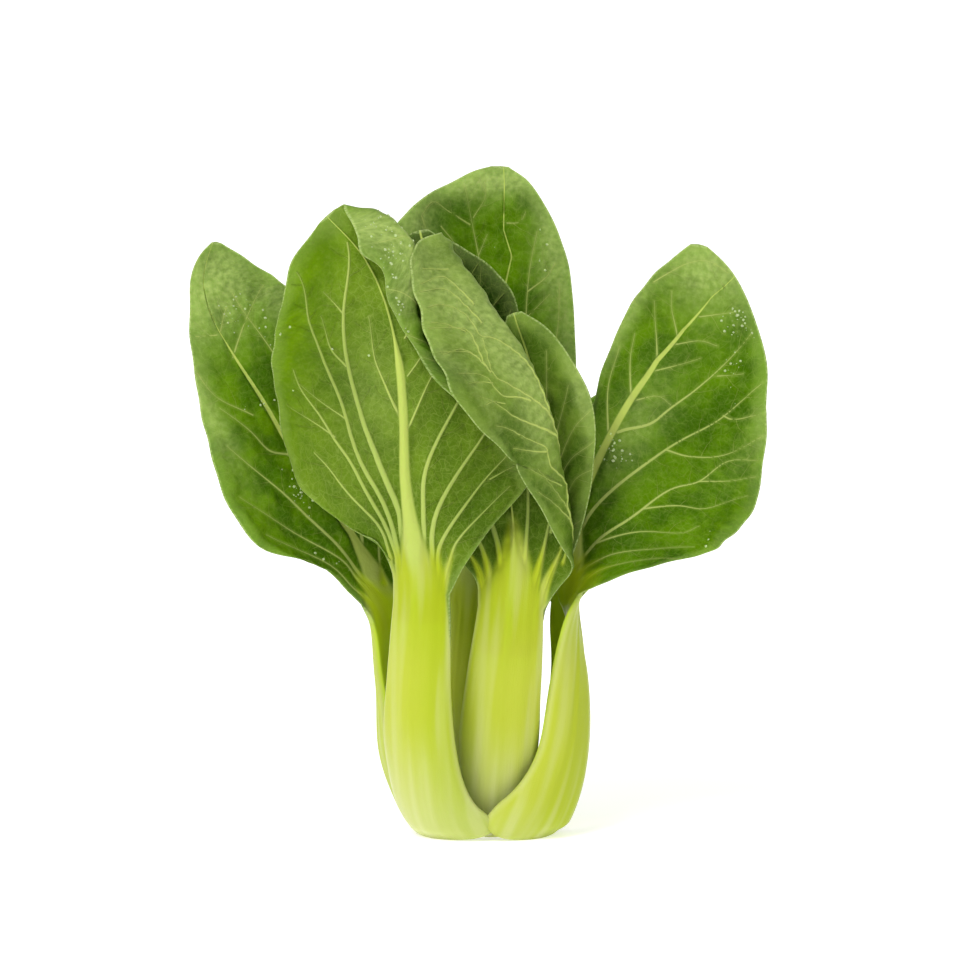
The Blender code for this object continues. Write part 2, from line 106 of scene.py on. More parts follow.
# Each leaf: points of its spine in space, up the stalk and the blade; the direction of its outer face and
# how far it is cupped (degrees in 10 mm) at its places; half widths and thicknesses of its stalk, with how
# much the foot is flared and rises at the minus and the plus edge; and both margins of the blade, as
# (along, aside). A lapel is a plus side folded over: from which distance aside, by which angle, and over
# which arc.
LEAVES = {
    "front_left": {
        "stalk": [(-13.2, -14.3, 0), (-17.5, -20, 9), (-19.5, -24, 24), (-21, -25, 44), (-20.3, -25, 75)],
        "blade": [(-22, -26, 92), (-24.2, -27, 110), (-24.8, -28, 130), (-26.4, -28, 147),
                  (-31, -27, 165), (-38, -25, 178), (-47.5, -22, 188)],
        "facing": (-128, -122, -112, -100, -100),
        "cup": (26, 24, 12, 8, 6),
        "width": (12, 16, 10.8, 8), "depth": (6.0, 7.0, 6.0, 4.6),
        "plus_width": (12, 11.5, 10.8, 9.6), "flare": (0, 9.5), "rise": (4.5, 4.5),
        "minus": [(0, 8), (10, 8.4), (16, 12), (19, 18), (24, 26), (32, 38), (45, 43.2), (60, 43.4),
                  (75, 41.8), (90, 38.8), (104, 34), (109, 30.5), (114, 25.5), (119, 16.5), (121, 2)],
        "plus": [(0, 10), (8, 14.5), (18, 24), (29, 36), (38, 34), (50, 29), (62, 23), (73, 14.8),
                 (83, 17.4), (95, 24.5), (104, 30.5), (110, 23.5), (115, 15.5), (119, 8), (121, 2)],
        "lapel": {"along": (0, 20, 33, 46, 58, 72, 87, 100, 110, 120),
                  "from": (40, 36, 31, 26, 17, 7, 7, 12, 9, 2),
                  "angle": (0, 0, 60, 165, 172, 172, 172, 172, 172, 165), "arc": 7.0},
    },
    "front": {
        "stalk": [(1.5, -12.6, 0), (2.2, -14.5, 9), (3.2, -16.8, 24), (4.3, -18.2, 44), (6.8, -19, 70)],
        "blade": [(8, -19, 90), (6, -18.5, 108), (0, -18, 130), (-8.5, -17.5, 152), (-16.5, -17.5, 170),
                  (-20, -18, 179)],
        "facing": (-86, -86, -88, -92, -92),
        "cup": (22, 20, 6, 4, 3),
        "width": (6.0, 11.5, 11, 9.5), "plus_width": (6.0, 11.8, 11.8, 10), "depth": (3.8, 5.4, 5.8, 4.2),
        "minus": [(0, 10), (8, 11), (16, 18), (28, 25), (50, 29), (75, 27), (95, 19), (108, 8), (114, 2)],
        "plus": [(0, 10), (8, 15), (18, 24), (28, 29.3), (38, 34.5), (43.6, 36.5), (44.8, 34), (46, 38.5),
                 (52, 43), (60, 48.5), (70, 50.5), (80, 47), (90, 41), (100, 34), (109, 28), (113.5, 25),
                 (116.3, 21), (116.6, 16), (115.5, 9), (114, 2)],
        "lapel": {"along": (-20, 0, 12, 40, 60, 76, 90, 102, 113),
                  "from": (16, 13, 11, 10.5, 11.5, 9.2, 6, 3.5, 1.5),
                  "angle": (155, 155, 155, 155, 153, 150, 150, 150, 150), "arc": 14.0},
    },
    "right": {
        "stalk": [(12.8, -14.3, 0), (18, -17, 9), (22.3, -13.5, 24), (25.2, -8, 46), (24.6, -4, 72)],
        "blade": [(25.5, -2, 85), (28.5, 0, 100), (34.5, 2, 114), (42, 3, 128), (50, 3, 140),
                  (56.5, 2, 152), (61, 0, 165), (63, -3, 177)],
        "places": (-1.0, -0.66, -0.36, -0.12, 0.05, 0.22, 1.0),
        "wave": 0.7,
        "facing": (-47, -41, -34, -6, 44, 76, 88),
        "cup": (26, 24, 16, 9, 8, 7, 7),
        "width": (11, 9, 9.2, 8.4), "plus_width": (12, 14.5, 9.5, 7), "depth": (6.0, 7.0, 4.8, 3.6),
        "flare": (9.5, 0), "rise": (4.5, 4.5),
        "plus": [(0, 7), (12, 8), (40, 8), (55, 9), (66, 12.5), (79, 14.8), (90, 15), (100, 12.5), (108, 8),
                 (115, 2)],
        "minus": [(0, 9), (4, 22), (9, 29.5), (14, 36.5), (19, 43.5), (27, 50), (40, 52.5), (54, 50.5),
                  (69, 46), (82, 36.5), (93, 27), (104, 16), (111, 9), (115, 2)],
    },
    "back_right": {
        "stalk": [(14, 7.8, 0), (19, 10.2, 9), (23.4, 12.5, 24), (24.8, 15, 46), (23.6, 19, 66)],
        "blade": [(27.5, 23, 84), (37, 28, 103), (46.5, 32, 119), (53, 33, 134)],
        "wave": 1.2,
        "facing": (29, 29, 40, 55, 60),
        "cup": (26, 24, 10, 9, 8),
        "width": (6.0, 10, 8.3, 6), "depth": (5.5, 6.5, 5.2, 3.6),
        **mirrored([(0, 6), (10, 17), (26, 25), (44, 23.5), (60, 17.5), (71, 9.5), (77, 2)]),
    },
    "back": {
        "stalk": [(2, 16, 0), (3.5, 22, 9), (4.5, 27, 24), (5, 28, 46), (6, 28, 74)],
        "blade": [(7, 30, 95), (7.5, 33, 120), (7, 36, 145), (5.5, 38, 168), (4.5, 41, 185), (4, 46, 195)],
        "wave": 1.2,
        "facing": (84, 84, 86, 90, 92),
        "cup": (26, 24, 10, 7, 6),
        "width": (5.7, 10.2, 9.6, 8), "depth": (5.5, 6.5, 5.5, 4.2),
        "plus": [(0, 8), (15, 17), (35, 27), (60, 34), (85, 38), (100, 36), (108, 29), (114, 20), (119, 10),
                 (121.5, 2)],
        "minus": [(0, 8), (15, 14), (35, 18), (60, 19.5), (85, 19.5), (98, 17), (108, 13), (116, 8),
                  (121.5, 2)],
    },
    "back_left": {
        "stalk": [(-9.4, 13.6, 0), (-13, 18.5, 9), (-15.9, 23.4, 24), (-17.8, 25.4, 46), (-20, 28, 68)],
        "blade": [(-25, 32, 90), (-32, 37, 112), (-40, 40, 134), (-46, 41, 151)],
        "wave": 1.2,
        "facing": (126, 126, 124, 120, 120),
        "cup": (26, 24, 10, 9, 8),
        "width": (5.8, 9, 8.5, 7), "depth": (5.5, 6.5, 5.5, 4.0),
        **mirrored([(0, 6), (12, 18), (30, 28), (50, 29), (68, 22), (80, 11), (86, 2)]),
    },
    "left": {
        "stalk": [(-19, 4, 0), (-23.5, 5.5, 9), (-28, 7, 24), (-29.3, 8.5, 44), (-31, 9.5, 64)],
        "blade": [(-38.5, 10, 76), (-46, 9, 88), (-57, 8, 108), (-66.5, 7, 128), (-74, 7, 142),
                  (-80, 8, 154), (-83, 10, 165), (-81, 13, 176)],
        "wave": 1.2,
        "facing": (170, 162, 140, 108, 100),
        "cup": (26, 22, 12, 8, 8),
        "width": (7.5, 11, 9.5, 8), "plus_width": (7.5, 10.5, 8.5, 6.5), "depth": (5.5, 6.5, 5.0, 4.0),
        "plus": [(0, 7), (14, 7), (22, 9), (28, 14), (33, 20), (39, 24.5), (48, 26), (60, 24.8), (76, 20),
                 (94, 13.5), (108, 7.5), (120, 4.5), (126, 1)],
        "minus": [(0, 8), (12, 14), (30, 24), (55, 31), (80, 29), (100, 23.5), (108, 21.5), (114, 19.5),
                  (117, 17), (120, 12.7), (123, 8), (126, 1)],
    },
    "inner_right": {
        "stalk": [(5.2, -1.5, 12.3), (8, -0.5, 22), (10, 0, 45), (13, -2.5, 68)],
        "blade": [(16, -7, 85), (18, -9, 100), (18, -9, 118), (14, -8, 138), (8, -6, 157)],
        "facing": (0, 5, 45, 72, 80),
        "cup": (24, 24, 14, 8, 6),
        "width": (3.8, 6, 7, 6), "depth": (3.5, 4.5, 4.2, 3.4),
        "plus": [(0, 5), (10, 8), (30, 13), (50, 15), (68, 12), (80, 6), (86, 2)],
        "minus": [(0, 5), (10, 9), (21, 12), (36, 13.5), (51, 15.5), (64, 15.5), (76, 11.5), (84, 8),
                  (91, 2)],
    },
    "inner_left": {
        "stalk": [(-5.2, -3, 12.3), (-6.5, -3.5, 22), (-7.3, -3.5, 45), (-6.6, -2, 68)],
        "blade": [(-6, 1, 90), (-9, 4, 115), (-12, 6, 140), (-15, 8, 160), (-20, 9, 180)],
        "facing": (-150, -140, -115, -105, -100),
        "cup": (24, 20, 10, 5, 4),
        "width": (3.8, 6, 6.5, 6), "depth": (3.5, 4.5, 4.2, 3.4),
        "minus": [(0, 5), (12, 10), (35, 16), (60, 18), (85, 17), (102, 14), (110, 9), (114, 2)],
        "plus": [(0, 5), (12, 8), (35, 14), (60, 21), (86, 23.5), (97, 19), (106, 11), (111, 5), (114, 2)],
    },
    "inner_back": {
        "stalk": [(2, 6, 12.3), (2.5, 9.5, 22), (3, 12.5, 45), (3, 14.5, 66)],
        "blade": [(2.5, 17, 85), (0, 20, 108), (-3, 22, 130), (-6, 23, 148)],
        "facing": (72, 74, 82, 90, 94),
        "cup": (24, 24, 14, 9, 7),
        "width": (3.4, 5.5, 6.5, 6), "depth": (3.5, 4.5, 4.2, 3.4),
        **mirrored([(0, 5), (10, 12), (28, 18), (50, 20), (68, 15), (78, 8), (83, 2)]),
    },
    "heart": {
        "stalk": [(-3.4, 3.4, 12.3), (-4, 4.2, 22), (-3.7, 6, 40), (-3.2, 7.5, 52)],
        "blade": [(-3.2, 9, 66), (-3.7, 10, 82), (-4.2, 11, 98)],
        "facing": (140, 140, 140, 140, 140),
        "cup": (30, 30, 55, 70, 60),
        "width": (2.6, 3.4, 3.4, 3.2), "depth": (2.4, 3.0, 3.0, 2.6),
        **mirrored([(0, 3), (8, 6), (20, 8.5), (32, 7.5), (42, 4.5), (46, 2)]),
    },
}


def smooth_path(points):
    """Points of a smooth curve that passes through the given points (Catmull-Rom)."""
    given = np.asarray(points, dtype=float)
    ends = np.vstack([2 * given[0] - given[1], given, 2 * given[-1] - given[-2]])
    t = np.arange(SPAN_STEPS)[:, None] / SPAN_STEPS
    spans = []
    for before, start, end, after in zip(ends, ends[1:], ends[2:], ends[3:]):
        bend = 2 * before - 5 * start + 4 * end - after
        twist = 3 * start - before - 3 * end + after
        spans.append(start + 0.5 * ((end - before) * t + bend * t**2 + twist * t**3))
    return np.vstack(spans + [given[-1:]])


def run_along(curve):
    """How far along a curve each of its points is."""
    return np.concatenate([[0.0], np.cumsum(np.linalg.norm(np.diff(curve, axis=0), axis=1))])


def profile(where, stations, values):
    """A value that changes smoothly from station to station."""
    line = smooth_path(list(zip(stations, values)))
    return np.interp(where, line[:, 0], line[:, 1])


def smooth_step(x):
    """Rises smoothly from 0 at x = 0 to 1 at x = 1."""
    x = np.clip(x, 0.0, 1.0)
    return x * x * (3.0 - 2.0 * x)


def unit(vectors):
    """The vectors at unit length."""
    return vectors / np.linalg.norm(vectors, axis=-1, keepdims=True)


class Leaf:
    """One leaf: a spine, a facing along it, and the bend of its cross-sections."""

    def __init__(self, name):
        self.name = name
        self.shape = shape = LEAVES[name]
        foot_points = shape["stalk"]
        self.path = smooth_path(foot_points + shape["blade"])
        run = run_along(self.path)
        self.along = run - run[(len(foot_points) - 1) * SPAN_STEPS]
        self.foot = self.along[0]
        self.tip = self.along[-1]
        places = shape.get("places", PLACES)
        self.stations = [place * (self.tip if place > 0 else -self.foot) for place in places]
        self.edges = {}
        for side in ("minus", "plus"):
            start = shape["plus_width" if side == "plus" and "plus_width" in shape else "width"][-1]
            edge = smooth_path([(0.0, start)] + shape[side][1:])
            run = run_along(edge)
            self.edges[side] = (run / run[-1], edge[:, 0] * self.tip / edge[-1, 0], edge[:, 1])

    def spine(self, along):
        """Points of the spine."""
        past = np.maximum(np.asarray(along) - self.tip, 0.0)[..., None]
        past = past * unit(self.path[-1] - self.path[-2])
        return np.stack([np.interp(along, self.along, self.path[:, k]) for k in range(3)], -1) + past

    def frame(self, along):
        """Spine point, outward direction and sideways direction at places along the leaf."""
        place = self.spine(along)
        tangent = sum(self.spine(along + reach) - self.spine(along - reach) for reach in CHORDS)
        square = smooth_step((along - self.foot) / LEVEL_BASE)[..., None]
        tangent = unit(square * unit(tangent) + (1.0 - square) * np.array([0.0, 0.0, 1.0]))
        facing = np.radians(profile(along, self.stations, self.shape["facing"]))
        level = np.stack([np.cos(facing), np.sin(facing), 0.0 * facing], -1)
        outward = unit(level - tangent * (level * tangent).sum(-1, keepdims=True))
        return place, outward, np.cross(tangent, outward)

    def foot_rise(self, column):
        """How much higher than its middle the foot ends towards its two edges."""
        minus, plus = self.shape.get("rise", FOOT_RISE)
        return np.where(column < 0.0, minus, plus) * np.abs(column) ** 2.4

    def turn(self, along, reach, side):
        """How far the cross-section has turned inward at this distance from the spine."""
        rate = profile(along, self.stations, self.shape["cup"])
        angle = np.radians(rate) * reach / 10.0
        lapel = self.shape.get("lapel")
        if lapel:
            begin = profile(along, lapel["along"], lapel["from"])
            full = np.radians(profile(along, lapel["along"], lapel["angle"]))
            rolled = full * smooth_step((reach - begin) / lapel["arc"])
            angle = np.where(side > 0, np.minimum(angle, LAPEL_CUP) - rolled, angle)
        return angle

    def point(self, along, aside, height):
        """World points, in millimetres, for flat coordinates of the leaf."""
        along, aside, height = np.broadcast_arrays(along, aside, height)
        place, outward, sideways = self.frame(along)
        reach, side = np.abs(aside), np.where(aside < 0, -1.0, 1.0)
        steps = (np.arange(SECTION_STEPS) + 0.5) / SECTION_STEPS
        turns = self.turn(along[..., None], reach[..., None] * steps, side[..., None])
        across = (reach * np.cos(turns).mean(-1) * side)[..., None]
        inward = (reach * np.sin(turns).mean(-1))[..., None]
        end = self.turn(along, reach, side)
        normal = outward * np.cos(end)[..., None] + sideways * (side * np.sin(end))[..., None]
        phase = 2.0 * np.pi * along / WAVE_LENGTH + side
        wave = self.shape.get("wave", 0.0) * np.sin(phase) * (reach / WAVE_REACH) ** 2
        lift = (height + wave * (along > 0.0))[..., None]
        return place + sideways * across - outward * inward + normal * lift

    def edge_at(self, row, left):
        """The margin's flat coordinates at a row."""
        minus, plus = (
            [np.interp(row * BLADE_END, share, values) for values in (along, aside)]
            for share, along, aside in (self.edges["minus"], self.edges["plus"]))
        return np.where(left, minus[0], plus[0]), np.where(left, minus[1], plus[1])

    def row_along(self, row, sweep, edge_along):
        """How far along a row is, at its sweep from the spine (0) to the margin (1)."""
        return BLADE_REACH * self.tip * row**VEIN_SWEEP * (1.0 - sweep) + edge_along * sweep

    def blade_place(self, row, column):
        """Flat coordinates at a row (0 at the blade's start, 1 at its tip) and a column (-1 to 1)."""
        row, column = np.broadcast_arrays(np.asarray(row, float), np.asarray(column, float))
        edge_along, edge_aside = self.edge_at(row, column < 0)
        return self.row_along(row, np.abs(column) ** COLUMN_SWEEP, edge_along), edge_aside * column

    def grid_place(self, along, aside):
        """Row and column of points that are given in flat coordinates."""
        low, high = np.zeros_like(along), np.ones_like(along)
        for _ in range(HALVINGS):
            row = 0.5 * (low + high)
            edge_along, edge_aside = self.edge_at(row, aside < 0)
            sweep = np.clip(np.abs(aside) / edge_aside, 0.0, 1.0) ** COLUMN_SWEEP
            short = self.row_along(row, sweep, edge_along) < along
            low, high = np.where(short, row, low), np.where(short, high, row)
        stalk_edge = stalk_reach(self, np.minimum(along, 0.0), np.sign(aside))
        edge_aside = np.where(along > 0, edge_aside, stalk_edge)
        return np.where(along > 0, row, 0.0), np.clip(aside / edge_aside, -1.0, 1.0)


# Fineness of each leaf's grid: rows up the stalk, rows up the blade, columns to each side.
FINE = {
    "front_left": (60, 160, 56, 60),
    "front": (60, 165, 48, 66),
    "right": (56, 160, 64, 38),
    "back_right": (32, 80, 32, 32),
    "back": (50, 130, 38, 52),
    "back_left": (32, 80, 34, 34),
    "left": (50, 150, 56, 42),
    "inner_right": (30, 100, 36, 36),
    "inner_left": (30, 100, 38, 42),
    "inner_back": (24, 60, 26, 26),
    "heart": (24, 44, 20, 20),
}


# How wide a midrib is beyond RIB_SLIM, as a share of the usual width.
RIB_SHARE = {
    "right": 0.8, "left": 0.5, "back": 0.6, "inner_right": 0.7, "back_left": 0.6, "back_right": 0.6,
}
RIB_SLIM = 30.0
RIB_STATIONS = (0.0, 0.04, 0.09, 0.2, 0.38, 0.56, 0.75, 1.0)   # shares of the way to the tip
RIB_THIN = (2.3, 1.5, 1.3, 0.7, 0.3)      # usual half widths at the last five of them
RIB_HEIGHTS = (1.7, 0.9, 0.2)             # heights at a fifth of the way, half way and the tip
RIB_OUTSIDE, RIB_INSIDE = 0.86, 0.14      # the shares of its height that stand out of the two faces
FLATTENING = 9.0          # a stalk begins to flatten into the blade this far before the blade's start
FLATTEN_LENGTH = 16.0     # and is flat after this length
# Where a midrib thins out on its way to the tip: from, to, and the share of its width that is left.
RIB_FADE = {
    "front_left": (68, 80, 0.4), "left": (84, 104, 0.3), "right": (84, 106, 0.35), "back": (56, 80, 0.6),
    "front": (6, 26, 0.15),
}
NO_FADE = (60, 120, 1.0)


def rib_half_width(leaf, along):
    """The pale midrib narrows fast from the stalk's top, and then slowly to a thin line."""
    top = leaf.shape["width"][-1]
    start, end, left = RIB_FADE.get(leaf.name, NO_FADE)
    slim = 1.0 - (1.0 - RIB_SHARE.get(leaf.name, 1.0)) * smooth_step(along / RIB_SLIM)
    slim = slim * (1.0 - (1.0 - left) * smooth_step((along - start) / (end - start)))
    return slim * profile(along / leaf.tip, RIB_STATIONS, (top - 0.4, 0.84 * top, 0.58 * top, *RIB_THIN))


def rib_height(leaf, along):
    """The midrib stands out of both faces, less and less towards the tip."""
    return profile(along / leaf.tip, (0.0, 0.2, 0.5, 1.0), (0.62 * leaf.shape["depth"][-1], *RIB_HEIGHTS))


def rib_middle(leaf, along):
    """How far aside the midrib has wandered from the spine."""
    path = MIDRIBS.get(leaf.name)
    return np.interp(along, *zip(*path)) if path else 0.0 * along


def leaf_grid(leaf):
    """Flat coordinates of the whole leaf's grid, with the row and column that each point has."""
    low_rows, high_rows, minus, plus = FINE[leaf.name]
    column = np.concatenate(
        [np.linspace(-1.0, 0.0, minus, endpoint=False), np.linspace(0.0, 1.0, plus + 1)])
    low = leaf.foot * (1.0 - np.linspace(0.0, 1.0, low_rows, endpoint=False))[:, None]
    low_along = low + leaf.foot_rise(column) * smooth_step(1.0 - (low - leaf.foot) / FOOT_HEIGHT)
    low_aside = stalk_reach(leaf, low_along, column) * column
    row = np.linspace(0.0, 1.0, high_rows)[:, None]
    high_along, high_aside = leaf.blade_place(row, column[None, :])
    along, aside = np.vstack([low_along, high_along]), np.vstack([low_aside, high_aside])
    return along, aside, np.concatenate([np.zeros(low_rows), row[:, 0]])[:, None], column[None, :]


def stalk_reach(leaf, along, column):
    """Half width of the stalk, with the foot's flare on the side that the column is on."""
    shape = leaf.shape
    share = 1.0 - along / leaf.foot
    on_plus = np.asarray(column) >= 0.0
    width = np.where(on_plus, profile(share, STALK_STATIONS, shape.get("plus_width", shape["width"])),
                     profile(share, STALK_STATIONS, shape["width"]))
    flare = np.where(on_plus, *reversed(shape.get("flare", (0.0, 0.0))))
    return width + flare * np.clip(1.0 - (along - leaf.foot) / FLARE_HEIGHT, 0.0, 1.0) ** 2.2


def body_heights(leaf, along, aside, from_rib, margin):
    """Heights of the outer and inner faces over the leaf's middle layer, before veins and quilting."""
    share = np.clip(1.0 - along / leaf.foot, 0.0, 1.0)
    width = stalk_reach(leaf, np.minimum(along, 0.0), np.sign(aside))
    depth = profile(share, STALK_STATIONS, leaf.shape["depth"])
    crown = np.sqrt(np.clip(1.0 - (aside / width) ** 2, 0.0, 1.0))
    bulk = STALK_EDGE + (depth - STALK_EDGE) * crown
    stalk_out = bulk * (0.5 + BELLY * crown)
    stalk_in = bulk * (0.5 - BELLY * crown)
    half = EDGE_HALF + (BLADE_HALF - EDGE_HALF) * smooth_step(margin / 3.0)
    rib = np.clip(1.0 - (from_rib / (1.2 * rib_half_width(leaf, np.maximum(along, 0.0)))) ** 2, 0.0, 1.0)
    swell = rib ** (1.0 + 0.6 * smooth_step(along / RIB_SLIM)) * rib_height(leaf, np.maximum(along, 0.0))
    blade_out = half + RIB_OUTSIDE * swell
    blade_in = half + RIB_INSIDE * swell
    climb = smooth_step((along + FLATTENING) / FLATTEN_LENGTH)
    return stalk_out + (blade_out - stalk_out) * climb, stalk_in + (blade_in - stalk_in) * climb


def grid_faces(index):
    """Quads between the points of one grid."""
    return np.stack([index[:-1, :-1], index[:-1, 1:], index[1:, 1:], index[1:, :-1]], -1).reshape(-1, 4)


def sheet_faces(rows, columns):
    """Quads of the closed body between two grids of the same size."""
    out = np.arange(rows * columns).reshape(rows, columns)
    back = out + rows * columns
    front = grid_faces(out)
    rear = np.stack([back[:-1, :-1], back[1:, :-1], back[1:, 1:], back[:-1, 1:]], -1).reshape(-1, 4)
    left = np.stack([out[:-1, 0], out[1:, 0], back[1:, 0], back[:-1, 0]], -1)
    right = np.stack([out[:-1, -1], back[:-1, -1], back[1:, -1], out[1:, -1]], -1)
    foot = np.stack([out[0, :-1], back[0, :-1], back[0, 1:], out[0, 1:]], -1)
    tip = np.stack([out[-1, :-1], out[-1, 1:], back[-1, 1:], back[-1, :-1]], -1)
    return np.vstack([front, rear, left, right, foot, tip])


def add_mesh(name, points, faces, surface, attributes=None, flat=None):
    """A named piece from points in millimetres, with values for its points and a flat layout."""
    mesh = bpy.data.meshes.new(name)
    mesh.vertices.add(len(points))
    mesh.vertices.foreach_set("co", (np.asarray(points) * MM).astype(np.float32).ravel())
    mesh.loops.add(faces.size)
    mesh.loops.foreach_set("vertex_index", faces.astype(np.int32).ravel())
    mesh.polygons.add(len(faces))
    mesh.polygons.foreach_set("loop_start", np.arange(0, faces.size, faces.shape[1], dtype=np.int32))
    mesh.polygons.foreach_set("use_smooth", np.ones(len(faces), dtype=bool))
    mesh.update(calc_edges=True)
    mesh.validate()
    for key, values in (attributes or {}).items():
        layer = mesh.attributes.new(key, "FLOAT", "POINT")
        layer.data.foreach_set("value", values.astype(np.float32).ravel())
    if flat is not None:
        layer = mesh.uv_layers.new(name="Flat")
        layer.data.foreach_set("uv", flat[faces.ravel()].astype(np.float32).ravel())
    mesh.materials.append(surface)
    piece = bpy.data.objects.new(name, mesh)
    bpy.context.scene.collection.objects.link(piece)
    return piece


# Where a midrib leaves the middle of its leaf, as (along, aside).
MIDRIBS = {
    "right": [(0, 0), (46, 0), (76, 0), (88, -2.5), (100, -7), (107, -12)],
    "left": [(0, -1), (12, -4), (26, -5), (57, -1), (106, 2.5), (126, 1)],
    "back": [(0, 0), (70, 1), (85, 1), (95, -2), (103, 0), (117, -1)],
}

